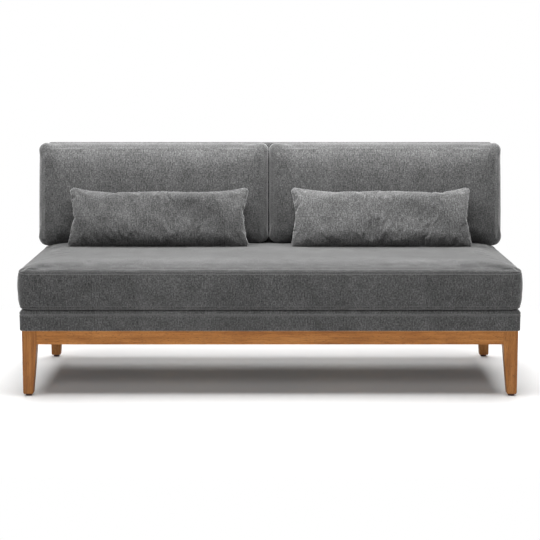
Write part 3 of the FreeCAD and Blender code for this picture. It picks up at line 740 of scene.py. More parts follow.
class BoxCushion:
    """A box cushion lying flat, its near lower edge along y = 0, in metres. It is worked out
    as a belt (points round, rows) and two panels. A cushion with a lean has no inset along
    its near side, because that side is cut to stand level."""

    seam_steps = np.array([0, 0.7, 1.4, 2.2, 3.0, 3.8, 4.8, 6.2, 8.6, 12.0]) * mm

    def __init__(self, width, depth, thickness, seams, radius, inset, runs, lean=0.0, rise=quarter, dome=0.0):
        self.rise, self.dome, self.lean = rise, dome, lean
        self.depth, self.thickness = depth, thickness
        self.low, self.high = seams
        self.radius, self.inset = radius, inset
        self.under_run, self.near_run, self.end_run, self.far_run = runs
        self.near_inset = 0.0 if lean else inset
        self.x_range = (-width / 2 + inset, width / 2 - inset)
        self.y_range = (self.near_inset, depth - inset)
        self.way, self.across, self.deep = walk_in_steps(width, depth, radius, 6, point_step)
        margin, span = self.seam_steps[-1], self.high - self.low
        middle = np.linspace(margin, span - margin, max(2, round(span / point_step)) + 1)[1:-1]
        self.side_steps = np.concatenate([self.seam_steps, middle, span - self.seam_steps[::-1]])

    def height(self, flat, top):
        """Height of the top or of the underside over flat points."""
        x, y = flat[..., 0], flat[..., 1]
        form = (x, y, self.x_range, self.y_range, self.radius)
        if not top:
            share = inwards(*form, (0.0 if self.lean else self.under_run, self.under_run, self.under_run))
            return self.low * (1 - quarter(share))
        share = inwards(*form, (self.near_run, self.end_run, self.far_run))
        from_middle_x = (x - sum(self.x_range) / 2) / (self.x_range[1] - self.x_range[0]) * 2
        from_middle_y = (y - sum(self.y_range) / 2) / (self.y_range[1] - self.y_range[0]) * 2
        bow = np.clip(1 - from_middle_x**4, 0, 1) * np.clip(1 - from_middle_y**2, 0, 1)
        crown = self.thickness - self.high - self.dome
        return self.high + crown * self.rise(share) + self.dome * bow

    def margin_rows(self, top):
        """Rows from the seam to where the panel begins."""
        rows = []
        for distance in self.seam_steps:
            x_range = (self.x_range[0] + distance, self.x_range[1] - distance)
            y_range = (self.y_range[0] + distance, self.y_range[1] - distance)
            flat = outline(self.way, x_range, y_range, self.radius - distance)
            rows.append(raised(flat, self.height(flat, top)))
        return rows

    def side_rows(self):
        """Rows up the side band, which swells by the inset between the seams."""
        rows = []
        for distance in self.side_steps:
            share = distance / (self.high - self.low)
            swell = self.inset * (1 - (2 * share - 1) ** 2)
            x_range = (self.x_range[0] - swell, self.x_range[1] + swell)
            near = self.y_range[0] - (swell if self.near_inset else 0.0)
            flat = outline(self.way, x_range, (near, self.y_range[1] + swell), self.radius)
            rows.append(raised(flat, self.low + distance))
        return rows

    def grids(self):
        """The belt, the underside and the top, before the cloth is worked on."""
        under, over = self.margin_rows(False), self.margin_rows(True)
        rows = under[::-1][:-1] + self.side_rows() + over[1:]
        self.low_row = len(under) - 1
        self.high_row = self.low_row + len(self.side_steps) - 1
        belt = np.stack(rows, 1)
        panels = []
        for top, ring in ((False, belt[:, 0]), (True, belt[:, -1])):
            flat = patch(ring[:, :2], self.across, self.deep)
            panels.append(raised(flat, self.height(flat, top)))
        return belt, panels[0], panels[1]


# %% [markdown]
# ## Letting the cloth work
#
# A sewn cover is cut a little smaller than its filling, and the seams are tighter than the
# cloth beside them. So the cloth between them takes up the slack in soft puckers that run
# away from the seams and gather at the corners. Blender's cloth finds them: the skin is
# blown up gently while its seams shrink. What it adds in the large, a general swelling, is
# taken off again by smoothing, and only the puckers are kept.

# %% Cloth simulation
def blown_up(points, faces, tight, pinned, frames, pressure, shrink):
    """Points of a closed skin after some frames of cloth under pressure. Points in tight
    lie on seams that shrink, and points in pinned stay where they are."""
    made = mesh_object("cloth_form", points, faces, grey_chenille)
    for name, chosen in {"tight": tight, "pinned": pinned}.items():
        group = made.vertex_groups.new(name=name)
        group.add([int(i) for i in chosen], 1.0, "REPLACE")
    cover = made.modifiers.new("cover", "CLOTH")
    settings = cover.settings
    settings.quality = 5
    settings.mass = 0.3
    settings.tension_stiffness = settings.compression_stiffness = 25.0
    settings.shear_stiffness = 8.0
    settings.bending_stiffness = 0.5
    settings.use_pressure = True
    settings.uniform_pressure_force = pressure
    settings.effector_weights.gravity = 0.0
    settings.vertex_group_shrink = "tight"
    settings.shrink_max = shrink
    if len(pinned):
        settings.vertex_group_mass = "pinned"
    cover.collision_settings.use_collision = False
    for number in range(1, frames + 1):
        scene.frame_set(number)
    done = made.evaluated_get(bpy.context.evaluated_depsgraph_get())
    result = np.empty(len(points) * 3)
    done.data.vertices.foreach_get("co", result)
    mesh = made.data
    bpy.data.objects.remove(made)
    bpy.data.meshes.remove(mesh)
    scene.frame_set(1)
    return result.reshape(-1, 3)


# %% [markdown]
# The cloth is worked on fewer rows than the final skin has, and its puckers are carried to
# all of them along straight lines. A movement that goes round the whole belt evenly isn't a
# pucker but a ridge, so its average over nearby points round the belt is taken off too.

# %% Puckers
smoothing_rounds = 60
nearby = range(-8, 9)


def smoothed(values, faces, rounds):
    """Averages values over neighbouring points, a number of times."""
    pairs = np.concatenate([faces[:, [k, (k + 1) % 4]] for k in range(4)])
    a = np.concatenate([pairs[:, 0], pairs[:, 1]])
    b = np.concatenate([pairs[:, 1], pairs[:, 0]])
    share = 1.0 / np.bincount(a, minlength=len(values))
    for _ in range(rounds):
        total = np.stack([np.bincount(a, column[b], len(values)) for column in values.T], 1)
        values = 0.5 * values + 0.5 * total * share[:, None]
    return values


def rows_between(fine, coarse):
    """Matrix that takes values on coarse places to fine places along straight lines."""
    matrix = np.zeros((len(fine), len(coarse)))
    after = np.clip(np.searchsorted(coarse, fine, side="right"), 1, len(coarse) - 1)
    share = (fine - coarse[after - 1]) / (coarse[after] - coarse[after - 1])
    matrix[np.arange(len(fine)), after - 1] = 1 - share
    matrix[np.arange(len(fine)), after] = share
    return matrix


def worked(cushion, grids, cap):
    """Puckers for a box cushion's three grids, as movements of their points, none longer
    than the cap."""
    belt, under, over = grids
    margin = len(cushion.seam_steps) - 1
    middle = range(cushion.low_row + margin, cushion.high_row - margin + 1)
    rows = [0, cushion.low_row, *middle, cushion.high_row, belt.shape[1] - 1]
    points, faces, ids = shell(belt[:, rows], under, over)
    faces = np.concatenate(faces)
    tight = ids[0][:, [1, -2]].ravel()
    result = blown_up(points, faces, tight, ids[1].ravel(), frames=12, pressure=4.0, shrink=0.03)
    moved = result - points
    puckers = moved - smoothed(moved, faces, smoothing_rounds)
    length = np.linalg.norm(puckers, axis=1, keepdims=True)
    puckers *= np.minimum(1.0, cap / np.maximum(length, 1e-9))
    most, kept = (np.round(np.abs(values).max(0) / mm, 1) for values in (moved, puckers))
    print("cloth moved by", most, "mm, puckers", kept, "mm")
    distance = way_along(belt)[1]
    matrix = rows_between(distance, distance[rows])
    round_belt = puckers[ids[0]]
    even = np.mean([np.roll(round_belt, shift, axis=0) for shift in nearby], axis=0)
    return [np.einsum("rc,pck->prk", matrix, round_belt - even), puckers[ids[1]], puckers[ids[2]]]


# %% [markdown]
# ## Seams
#
# At each seam the two panels dip into a narrow gully. On the upper seam of the seat cushion
# the seam allowance is stitched down on both sides, so there are two low rolls with a line
# of stitches on each, which catch the light. The dip is a sum of bell curves over the
# distance from the seam, in millimetres.

# %% Seam profile
def seam_dip(distance, depth, stitched):
    """Height of the cloth beside a seam: a gully on the seam and, where it is stitched, a
    roll, a dimple under the stitches and a second, lower roll."""
    d = distance / mm
    height = -(depth / mm) * np.exp(-((d / 1.2) ** 2)) + 0.7 * np.exp(-(((d - 2.4) / 1.0) ** 2))
    if stitched:
        height += -0.6 * np.exp(-(((d - 3.9) / 0.6) ** 2)) + 0.5 * np.exp(-(((d - 5.8) / 1.8) ** 2))
    return height * mm


def seam_sheen_and_wear(distance, most=0.45):
    """Share of paler colour at a distance from a seam, partly pile pressed open and partly
    painted sheen: strongest on the two rolls beside it.
    """
    return most * np.exp(-(((np.abs(distance) / mm - 2.4) / 1.6) ** 2))


print("a stitched seam dips by", round(float(seam_dip(0.0, 2 * mm, True)) / mm, 2), "mm")


# %% [markdown]
# Every stitch is a short six-sided lozenge laid on its line. It is so small and comes so
# often that it gets only a few faces, and all the stitches of a line are one mesh.

# %% Stitches
stitch_length = 4.6 * mm
stitch_gap = 1.6 * mm
thread_width = 0.9 * mm
stitch_line = 3.9 * mm


def stitches(name, paths, body):
    """Threads laid end to end along paths of (points, outward directions): each stitch has
    four rings of six points, narrow at its ends and half sunk there."""
    ring = np.radians(np.arange(6) * 60.0)
    thick = np.array([0.35, 1.0, 1.0, 0.35]) * thread_width / 2
    rise = np.array([-0.6, 0.25, 0.25, -0.6]) * thread_width + 0.1 * mm
    all_points, all_faces = [], []
    count = 0
    for points, normals in paths:
        along = run_along(points)
        number = int(along[-1] / (stitch_length + stitch_gap))
        start = (np.arange(number) + 0.5) * along[-1] / number
        spots = start[:, None] + np.array([-0.5, -0.3, 0.3, 0.5]) * stitch_length
        centre = read_at(spots, along, points)
        up = unit(read_at(spots, along, normals))
        forward = unit(centre[:, -1:] - centre[:, :1])
        side = np.cross(up, np.broadcast_to(forward, up.shape))
        centre = centre + up * rise[None, :, None]
        circle = side[:, :, None] * np.cos(ring)[:, None] + up[:, :, None] * np.sin(ring)[:, None]
        tube = centre[:, :, None] + circle * thick[None, :, None, None]
        ids = count + np.arange(tube.size // 3).reshape(number, 4, 6)
        turned = np.roll(ids, -1, axis=2)
        sides = np.stack([ids[:, :-1], turned[:, :-1], turned[:, 1:], ids[:, 1:]], -1).reshape(-1, 4)
        caps = [ids[:, 0][:, [0, 5, 4, 3]], ids[:, 0][:, [0, 3, 2, 1]]]
        caps += [ids[:, -1][:, [0, 1, 2, 3]], ids[:, -1][:, [0, 3, 4, 5]]]
        all_points.append(tube.reshape(-1, 3))
        all_faces += [sides, *caps]
        count += tube.size // 3
    made = mesh_object(name, np.concatenate(all_points), np.concatenate(all_faces), grey_thread)
    belong(made, body)


# %% [markdown]
# ## Zips
#
# A cushion's cover comes off by a zip in the band that nobody sees: at the rear of the seat
# cushion and at the foot of the back cushions. It is a woven tape on the band with a chain
# of small teeth and a metal slider at one end. Teeth, slider and pull are plain boxes, since
# they are only a few millimetres long.

# %% Small boxes and nylon
def small_boxes(centre, axes, size):
    """Vertices and faces of boxes at many centres; axes are three unit directions a box."""
    signs = np.array([(x, y, z) for z in (-1, 1) for y in (-1, 1) for x in (-1, 1)]) / 2
    points = centre[:, None] + np.einsum("cs,nsk->nck", signs * np.asarray(size), axes)
    ids = 8 * np.arange(len(centre))[:, None, None]
    sides = np.array([(0, 2, 3, 1), (4, 5, 7, 6), (0, 1, 5, 4), (2, 6, 7, 3), (0, 4, 6, 2), (1, 3, 7, 5)])
    return points.reshape(-1, 3), (ids + sides[None]).reshape(-1, 4)


def dark_nylon():
    """Dark woven tape with a nylon chain."""
    material, tree = new_tree("dark_nylon")
    fine = noise(tree, own_place(tree), (0.0012, 0.0012, 0.0012), 2.0)
    colour = ramp(tree, fine, [(0.35, grey(0.018)), (0.65, grey(0.05))])
    normal = bumped(tree, fine, 0.3, 0.0005)
    principled(tree, {"Base Color": colour, "Roughness": 0.6, "Normal": normal})
    return material


zip_material = dark_nylon()
print("finish for the zips:", zip_material.name)

# %% Zip
tooth_step = 3.2 * mm
zip_margin = 6 * mm


def zip_fastener(name, rows, normals, body):
    """A zip along three rows of points on a band: lower edge, middle and upper edge. The
    teeth are small boxes in equal steps along the middle row."""
    middle = rows[:, 1]
    tape = rows + 0.7 * mm * normals
    tape_ids = np.arange(tape.shape[0] * 3).reshape(tape.shape[:2])
    along = run_along(middle)
    spots = np.arange(zip_margin, along[-1] - zip_margin, tooth_step)
    centre = read_at(spots, along, middle)
    up = unit(read_at(spots, along, normals[:, 1]))
    ahead = unit(read_at(spots, along, np.gradient(middle, axis=0)))
    axes = np.stack([ahead, np.cross(up, ahead), up], 1)
    teeth, teeth_faces = small_boxes(centre + 1.3 * mm * up, axes, (1.9 * mm, 5.4 * mm, 1.6 * mm))
    points = np.concatenate([tape.reshape(-1, 3), teeth])
    faces = np.concatenate([quads(tape_ids), teeth_faces + tape_ids.size])
    chain = mesh_object(name, points, faces, zip_material, smooth=False)
    start, axes, up, ahead = (values[:1] for values in (centre, axes, up, ahead))
    slider, slider_faces = small_boxes(start + 2.4 * mm * up, axes, (11 * mm, 9 * mm, 3.4 * mm))
    pull_place = start + 4.8 * mm * up + 10 * mm * ahead
    pull, pull_faces = small_boxes(pull_place, axes, (24 * mm, 6 * mm, 1.3 * mm))
    points = np.concatenate([slider, pull])
    metal = mesh_object(name + "_slider", points, np.concatenate([slider_faces, pull_faces + 8]), zinc_steel)
    edge = metal.modifiers.new("edge", "BEVEL")
    edge.width = 0.5 * mm
    edge.segments = 2
    belong(chain, body)
    belong(metal, body)


def zip_on_band(name, cushion, belt, normals, body, rear):
    """A zip along the middle of a cushion's band, at its rear or at its near side, over the
    middle three quarters of it."""
    middle = (cushion.low_row + cushion.high_row) // 2
    start = cushion.across + cushion.deep if rear else 0
    kept = np.arange(start + round(0.12 * cushion.across), start + round(0.88 * cushion.across))
    rows = [middle - 1, middle, middle + 1]
    zip_fastener(name, belt[kept][:, rows], normals[kept][:, rows], body)


# %% [markdown]
# ## The deck and the back
#
# The deck and the back are wooden frames with webbing and a thin pad, and the cloth is
# drawn tight over them and stapled underneath. So they keep their boxy form, with edges
# rounded by the pad. The skin of each is one profile, a line of (distance inwards, height),
# carried round a rounded rectangle.

# %% Waves, arcs and places on a profile
def waves(place, length, seed, count=7):
    """Uneven waves along a line: sines of several lengths around the given one, between
    about -1 and 1."""
    pick = np.random.default_rng(seed)
    lengths = length * pick.uniform(0.6, 1.9, count)
    starts = pick.uniform(0, 2 * math.pi, count)
    total = sum(np.sin(2 * math.pi * place / size + start) for size, start in zip(lengths, starts))
    return total / math.sqrt(count)


def arc(centre, radius, start, end, steps):
    """Points on an arc of a circle between two angles in degrees."""
    angles = np.radians(np.linspace(start, end, steps))
    return np.stack([centre[0] + radius * np.cos(angles), centre[1] + radius * np.sin(angles)], -1)


def stations(profile, seam_height):
    """Places along a profile: even steps, the arcs' points, and close steps by the seam."""
    length = run_along(profile)
    seam = length[np.argmin(np.abs(profile[:, 1] - seam_height) + np.abs(profile[:, 0]))]
    close = np.concatenate([seam - BoxCushion.seam_steps[::-1], seam + BoxCushion.seam_steps[1:]])
    close = close[(close > 0) & (close < length[-1])]
    spots = np.concatenate([np.arange(0, length[-1], 10 * mm), length])
    clear = np.abs(spots - seam) > BoxCushion.seam_steps[-1] + 1.5 * mm
    places = np.unique(np.round(np.concatenate([spots[clear], close]), 5))
    places = places[np.concatenate([[True], np.diff(places) > 0.4 * mm])]
    return read_at(places, length, profile), int(np.argmin(np.abs(places - seam)))


# %% A profile carried round a block
class Block:
    """The skin of an upholstered block. shares say how much of the profile's inset the near
    and the far side take."""

    def __init__(self, x_range, y_range, profile, seam_height, radius, shares):
        rows, self.seam_row = stations(profile, seam_height)
        sizes = (x_range[1] - x_range[0], y_range[1] - y_range[0])
        way, across, deep = walk_in_steps(*sizes, radius, 5, point_step)
        belt = []
        for inset, height in rows:
            xs = (x_range[0] + inset, x_range[1] - inset)
            ys = (y_range[0] + shares[0] * inset, y_range[1] - shares[1] * inset)
            belt.append(raised(outline(way, xs, ys, max(radius - inset, 3 * mm)), height))
        self.belt = np.stack(belt, 1)
        self.under = patch(self.belt[:, 0], across, deep)
        self.over = patch(self.belt[:, -1], across, deep)

    def sew(self, depth, stitched):
        """Presses the seam into the belt."""
        distance = way_along(self.belt)[1]
        self.from_seam = distance - distance[self.seam_row]
        dip = seam_dip(np.abs(self.from_seam), depth, stitched)
        self.belt = self.belt + grid_normals(self.belt, True) * dip[None, :, None]

    def make(self, name, pose, node_name, closed):
        """The object: open below where it is stapled, with the cloth's thickness inwards."""
        points, faces, ids = shell(pose(self.belt), pose(self.under), pose(self.over))
        sheen_and_wear_share = np.zeros(len(points))
        # Paler seam: partly pile pressed open, partly painted sheen.
        sheen_and_wear_share[ids[0]] = seam_sheen_and_wear(self.from_seam)
        weave = weave_map(self.belt, self.under, self.over)
        if not closed:
            faces, weave = [faces[0], faces[2]], [weave[0], weave[2]]
            used = np.unique(np.concatenate(faces))
            renumber = np.zeros(len(points), int)
            renumber[used] = np.arange(len(used))
            points, sheen_and_wear_share, faces = points[used], sheen_and_wear_share[used], [renumber[part] for part in faces]
        made = mesh_object(name, points, np.concatenate(faces), grey_chenille, np.concatenate(weave), sheen_and_wear_share)
        if not closed:
            wall = made.modifiers.new("cloth", "SOLIDIFY")
            wall.thickness = 2.0 * mm
            wall.offset = -1.0
        belong(made, "frame", [node_name])


# %% [markdown]
# The deck has a seam 17 mm below its top edge, along its front and sides. It joins the top
# panel to the side band, and the allowance is stitched down below it with one line.

# %% Deck
deck_low, deck_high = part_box("deck_cover")
rail_top = deck_low.z
deck_top = deck_high.z
deck_rear = deck_high.y
deck_height = deck_top - rail_top
deck_edge = 13 * mm
deck_seam = deck_height - 17 * mm
deck_profile = np.concatenate(
    [
        [(34 * mm, 0.3 * mm), (18 * mm, 0.3 * mm), (4 * mm, 0.3 * mm)],
        arc((3 * mm, 3.3 * mm), 3 * mm, 270, 180, 4),
        [(0.0, 12 * mm), (0.0, 24 * mm), (0.0, 36 * mm), (0.0, deck_seam)],
        arc((deck_edge, deck_height - deck_edge), deck_edge, 180, 90, 8),
        [(24 * mm, deck_height), (36 * mm, deck_height)],
    ]
)
deck_depth = (deck_low.y, deck_rear + 18 * mm)
deck = Block((deck_low.x, deck_high.x), deck_depth, deck_profile, deck_seam, 16 * mm, (1.0, 0.0))
deck.sew(1.3 * mm, True)
near_seam = np.exp(-np.abs(deck.belt[..., 2] - deck_seam) / (9 * mm))
drawn = 0.5 * mm * waves(way_along(deck.belt)[0][:-1], 55 * mm, 5)[:, None] * near_seam
deck.belt += grid_normals(deck.belt, True) * np.minimum(drawn, 0.0)[..., None]


# %% The deck's place and its topstitching
def deck_pose(points):
    """Lifts the deck's skin on to the rails."""
    return points + np.array([0.0, 0.0, rail_top])


def visible_path(loop, outwards, behind):
    """The part of a loop of points that lies before the back, from its left end round the
    front to its right end."""
    order = np.roll(np.arange(len(loop)), -int(np.argmax(loop[:, 1])))
    shown = order[loop[order, 1] < behind]
    return loop[shown], outwards[shown]


deck.make("deck_upholstery", deck_pose, "deck_cover", False)
deck_distance = way_along(deck.belt)[1]
deck_row = int(np.argmin(np.abs(deck_distance - deck_distance[deck.seam_row] + stitch_line)))
deck_skin = deck_pose(deck.belt)
deck_line = visible_path(deck_skin[:, deck_row], grid_normals(deck_skin, True)[:, deck_row], deck_rear)
stitches("deck_topstitching", [deck_line], "frame")


# %% [markdown]
# The back's cloth wraps its front, top and sides, and a rear panel closes it behind with a
# seam just inside the edge. It stands on the rear rail, upright behind the deck and raked
# above it, and it is a little thinner at the top.

# %% Back
lean = math.radians(10.0)
back_low, back_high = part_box("back_cover")
back_thickness = 50 * mm
back_taper = 5 * mm
back_edge = 16 * mm
back_profile = np.concatenate(
    [
        [(44 * mm, 0.0), (32 * mm, 0.0), (22 * mm, 0.0)],
        arc((back_edge, back_edge), back_edge, 270, 180, 8),
        arc((back_edge, back_thickness - back_edge), back_edge, 180, 90, 8),
        [(28 * mm, back_thickness), (40 * mm, back_thickness)],
    ]
)
back_height = (0.0, back_high.z - rail_top)
back = Block((back_low.x, back_high.x), back_height, back_profile, 0.0, 7 * mm, (0.25, 1.0))


def back_pose(points):
    """Stands the back's skin on the rear rail: flat height runs up, and flat thickness runs
    forwards between the raked rear and front."""
    x, up, forwards = points[..., 0], points[..., 1], points[..., 2]
    rise = np.maximum(rail_top + up - deck_top, 0.0)
    front = deck_rear + rise * math.tan(lean)
    thickness = back_thickness - back_taper * rise / (back_high.z - deck_top)
    return np.stack([x, front + thickness * (1 - forwards / back_thickness), rail_top + up], -1)


back.sew(1.6 * mm, False)
back.make("back_upholstery", back_pose, "back_cover", True)


# %% [markdown]
# ## The seat cushion
#
# One cushion runs the whole width. It lies flat on the deck, overhangs it a little at the
# All three cushions are built by one function: the flat form, its puckers, its seams, its
# place on the sofa, and then its stitches and its zip. Painted shade darkens the front
# strip of the seat's top.

# %% Building a cushion
def build_cushion(name, cushion, pose, stitched, seam_depth, cap, painted_shade_share):
    """Makes a box cushion's skin, with its puckers and seams, and its stitches on the upper
    seam. pose takes flat points to their place on the sofa, and the last argument gives the
    share of painted shade at places there."""
    grids = cushion.grids()
    belt, under, over = (grid + puckers for grid, puckers in zip(grids, worked(cushion, grids, cap)))
    distance = way_along(belt)[1]
    dip, sheen_and_wear = 0.0, 0.0
    for row in (cushion.low_row, cushion.high_row):
        sewn_down = stitched and row == cushion.high_row
        from_seam = distance - distance[row]
        dip = dip + seam_dip(np.abs(from_seam), seam_depth, sewn_down)
        # Paler seams: partly pile pressed open, partly painted sheen.
        sheen_and_wear = sheen_and_wear + seam_sheen_and_wear(from_seam, 0.45 if sewn_down else 0.08)
    ends = (distance - distance[0], distance[-1] - distance)
    fade = np.clip(ends[0] / (6 * mm), 0, 1) * np.clip(ends[1] / (6 * mm), 0, 1)
    belt = belt + grid_normals(belt, True) * (dip * fade)[None, :, None]
    for grid in (belt, under, over):
        near_share = np.clip(1 - grid[..., 1] / cushion.depth, 0, 1)
        grid[..., 1] += (cushion.thickness - grid[..., 2]) * math.tan(cushion.lean) * near_share
    points, faces, ids = shell(pose(belt), pose(under), pose(over))
    sheen_and_wear_share = np.zeros(len(points))
    sheen_and_wear_share[ids[0]] = sheen_and_wear
    weave = np.concatenate(weave_map(belt, under, over))
    # The last argument paints shade as a point attribute.
    made = mesh_object(name, points, np.concatenate(faces), grey_chenille, weave, sheen_and_wear_share, painted_shade_share(points))
    belong(made, name, [name + "_cover", name + "_foam"])
    posed = pose(belt)
    normals = grid_normals(posed, True)
    if stitched:
        lines = distance[cushion.high_row] + np.array([-stitch_line, stitch_line])
        rows = [int(np.argmin(np.abs(distance - line))) for line in lines]
        paths = [(looped(posed[:, row]), looped(normals[:, row])) for row in rows]
        stitches(name + "_topstitching", paths, name)
    zip_on_band(name + "_zip", cushion, posed, normals, name, rear=not cushion.lean)


# %% Seat cushion
seat_low, seat_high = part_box("seat_cushion_cover")
seat_seams = (13.0 * mm, 135.5 * mm)
seat_end_run = 145 * mm
seat = BoxCushion(
    width=seat_high.x - seat_low.x,
    depth=seat_high.y - seat_low.y,
    thickness=seat_high.z - seat_low.z,
    seams=seat_seams,
    radius=42 * mm,
    inset=4 * mm,
    runs=(12 * mm, 145 * mm, seat_end_run, 34 * mm),
)


def seat_pose(points):
    """Lays the seat cushion on the deck."""
    return points + np.array([0.0, seat_low.y, seat_low.z])


def painted_seat_shade(points):
    """Painted shade along the front of the seat's top."""
    behind = (points[:, 1] - seat_low.y) / mm
    over = points[:, 2] > seat_low.z + seat_seams[1] + 2 * mm
    return over * 0.75 * np.exp(-(((behind - 40) / 62) ** 2))


# The seat's front strip gets painted shade.
build_cushion("seat_cushion", seat, seat_pose, True, 2.0 * mm, 3.5 * mm, painted_seat_shade)


# %% [markdown]
# ## The back cushions
#
# The two back cushions stand side by side on the seat and lean on the back. They are softer
# than the seat: the front panel swells more, its seam lies further in from the silhouette,
# and the puckers along it are soft. The lower face is cut at the angle of the lean, so
# that they stand level.

# %% Where a back cushion stands
cushion_thickness = 146 * mm


def stand(points, lean, place):
    """Turns a flat cushion up about X and moves it: flat depth becomes height."""
    x, y, z = points[..., 0], points[..., 1], points[..., 2]
    turned = (x, y * math.sin(lean) - z * math.cos(lean), y * math.cos(lean) + z * math.sin(lean))
    return np.stack(turned, -1) + np.asarray(place)


def back_cushion_pose(x_middle, bottom):
    """Stands a flat back cushion on the seat, against the raked back."""
    z = bottom - cushion_thickness * math.sin(lean)
    y = deck_rear + (z - deck_top) * math.tan(lean) - 0.3 * mm / math.cos(lean)
    return lambda points: settled(stand(points, lean, (x_middle, y, z)))


def settled(points):
    """Lets a back cushion's foot sink where the seat's crown falls away below it: by what
    the seat is lower there, and less and less up to 60 mm above the foot."""
    from_end = (seat_high.x - np.abs(points[..., 0])) / seat_end_run
    drop = np.clip((seat_high.z - seat_seams[1]) * (1 - quarter(from_end)) - 1.5 * mm, 0, 10 * mm)
    above = (points[..., 2] - seat_high.z) / (60 * mm)
    lowered = points.copy()
    lowered[..., 2] -= drop * np.clip(1 - above, 0, 1) ** 2
    return lowered


def painted_back_shade(points):
    """Painted shade on the lower part of the cushion's front, darkest at its foot."""
    share = (points[:, 2] - seat_high.z) / (230 * mm)
    return 0.62 * np.clip(1 - share, 0, 1) ** 0.8


# %% [markdown]
# Each cushion reaches from near the sofa's middle to just past the back's end. The photo
# shows the gap between them a little left of the middle.

# %% Back cushions
middle_shift = -5 * mm
outer_swell = 8 * mm
for hand, side in (("left", -1), ("right", 1)):
    low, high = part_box(f"{hand}_back_cushion_cover")
    inner_end = (high.x if side < 0 else low.x) + middle_shift
    outer_end = (low.x if side < 0 else high.x) + side * outer_swell
    form = BoxCushion(
        width=abs(outer_end - inner_end),
        depth=418 * mm,
        thickness=cushion_thickness,
        seams=(14 * mm, 92 * mm),
        radius=26 * mm,
        inset=18 * mm,
        runs=(12 * mm, 80 * mm, 115 * mm, 125 * mm),
        lean=lean,
        rise=eased,
        dome=10 * mm,
    )
    pose = back_cushion_pose((outer_end + inner_end) / 2, low.z)
    # The back cushions get painted shade towards their foot.
    build_cushion(f"{hand}_back_cushion", form, pose, False, 0.4 * mm, 2.0 * mm, painted_back_shade)


# %% [markdown]
# ## The pillows
#
# A lumbar pillow is two flat rectangles sewn together along their edges and stuffed. When
# it is filled the edges draw in between the corners, which are left as small ears, and
# creases run from the corners and the seam towards the middle. This is what cloth does by
# itself, so the whole shape comes from the simulation: two flat sheets are blown up, and
# the result is fitted to the pillow's size.

# %% Pillow form
cut_wider = 1.05
cut_higher = 1.16


def pillow_sheet(width, height, radius, step):
    """A flat sheet with rounded corners, its lower edge along y = 0."""
    way, across, deep = walk_in_steps(width, height, radius, 3, step)
    return patch(outline(way, (-width / 2, width / 2), (0.0, height), radius), across, deep)


def domed(flat, puff, seed):
    """The sheet with a slight, uneven dome, so that the two sheets part."""
    u, v = (np.linspace(-1, 1, count) for count in flat.shape[:2])
    u, v = np.meshgrid(u, v, indexing="ij")
    dome = puff * np.sqrt(np.clip((1 - u**4) * (1 - v**4), 0, 1))
    pick = np.random.default_rng(seed)
    uneven = 0
    for _ in range(4):
        uneven = uneven + np.sin(pick.uniform(2, 7) * u + pick.uniform(2, 5) * v + pick.uniform(0, 6))
    return raised(flat, dome * (1 + 0.15 * uneven))


def sewn_together(front, rear):
    """Points, faces and vertex numbers of two grids that share their edge vertices."""
    front_ids = np.arange(front.shape[0] * front.shape[1]).reshape(front.shape[:2])
    rear_ids = front_ids.copy()
    inner = rear_ids[1:-1, 1:-1].shape
    rear_ids[1:-1, 1:-1] = front_ids.size + np.arange(inner[0] * inner[1]).reshape(inner)
    points = np.zeros((rear_ids.max() + 1, 3))
    points[rear_ids] = rear
    points[front_ids] = front
    faces = np.concatenate([quads(front_ids), quads(rear_ids)[:, ::-1]])
    return points, faces, front_ids, rear_ids


def pillow_form(width, height, thickness, seed):
    """Front and rear of a filled pillow lying flat, its lower edge near y = 0, fitted to its
    three sizes, and the flat sheet they come from, which is cut larger because filling draws
    it in."""
    flat = pillow_sheet(width * cut_wider, height * cut_higher, 24 * mm, 8 * mm)
    front = domed(flat, 12 * mm, seed)
    points, faces, front_ids, rear_ids = sewn_together(front, front * np.array([1, 1, -1]))
    edge = np.concatenate([front_ids[0], front_ids[-1], front_ids[1:-1, 0], front_ids[1:-1, -1]])
    points[edge, 2] = 0.0
    points = blown_up(points, faces, edge, [], frames=11, pressure=4.0, shrink=0.02)
    size = np.ptp(points, axis=0)
    print("pillow from the cloth:", np.round(size / mm), "mm")
    points[:, 0] *= width / size[0]
    points[:, 1] = (points[:, 1] - points[:, 1].min()) * height / size[1]
    points[:, 2] *= thickness / size[2]
    return points[front_ids], points[rear_ids], flat


# %% [markdown]
# The cloth is worked on an 8 mm grid. Two rounds of points between its points make it fine
# enough for the last detail, the small gathers along the edge, where the thread pulls the
# two sheets together.

# %% Fine gathers
def refined(grid):
    """A grid with points added between its own, on smooth curves through them."""
    for axis in (0, 1):
        grid = np.swapaxes(grid, 0, axis)
        padded = np.concatenate([2 * grid[:1] - grid[1:2], grid, 2 * grid[-1:] - grid[-2:-1]])
        middle = (9 * (padded[1:-2] + padded[2:-1]) - (padded[:-3] + padded[3:])) / 16
        fine = np.empty((2 * len(grid) - 1,) + grid.shape[1:])
        fine[::2] = grid
        fine[1::2] = middle
        grid = np.swapaxes(fine, 0, axis)
    return grid


def gathered(grid, flat, outwards, seed):
    """Small gathers beside the seam: bulges and dents that are nothing on the seam, largest
    6 mm from it and gone after 30 mm."""
    height = 0
    for k in (0, 1):
        other = flat[..., 1 - k]
        share = np.minimum(other - other.min(), other.max() - other) / (6 * mm)
        height = height + share * np.exp(1 - share) * waves(flat[..., k], 15 * mm, seed + k, 9)
    return grid + 1.0 * mm * height[..., None] * grid_normals(grid, False) * outwards


# %% [markdown]
# The filled pillow is turned up to its lean, set against the front of its back cushion and
# sunk a little into the seat, as its weight does.

# %% Pillows
pillow_lean = math.radians(23.0)
pillow_height = 246 * mm
pillow_thickness = 116 * mm
pillow_bow = 9 * mm
pillow_sunk = 3.5 * mm


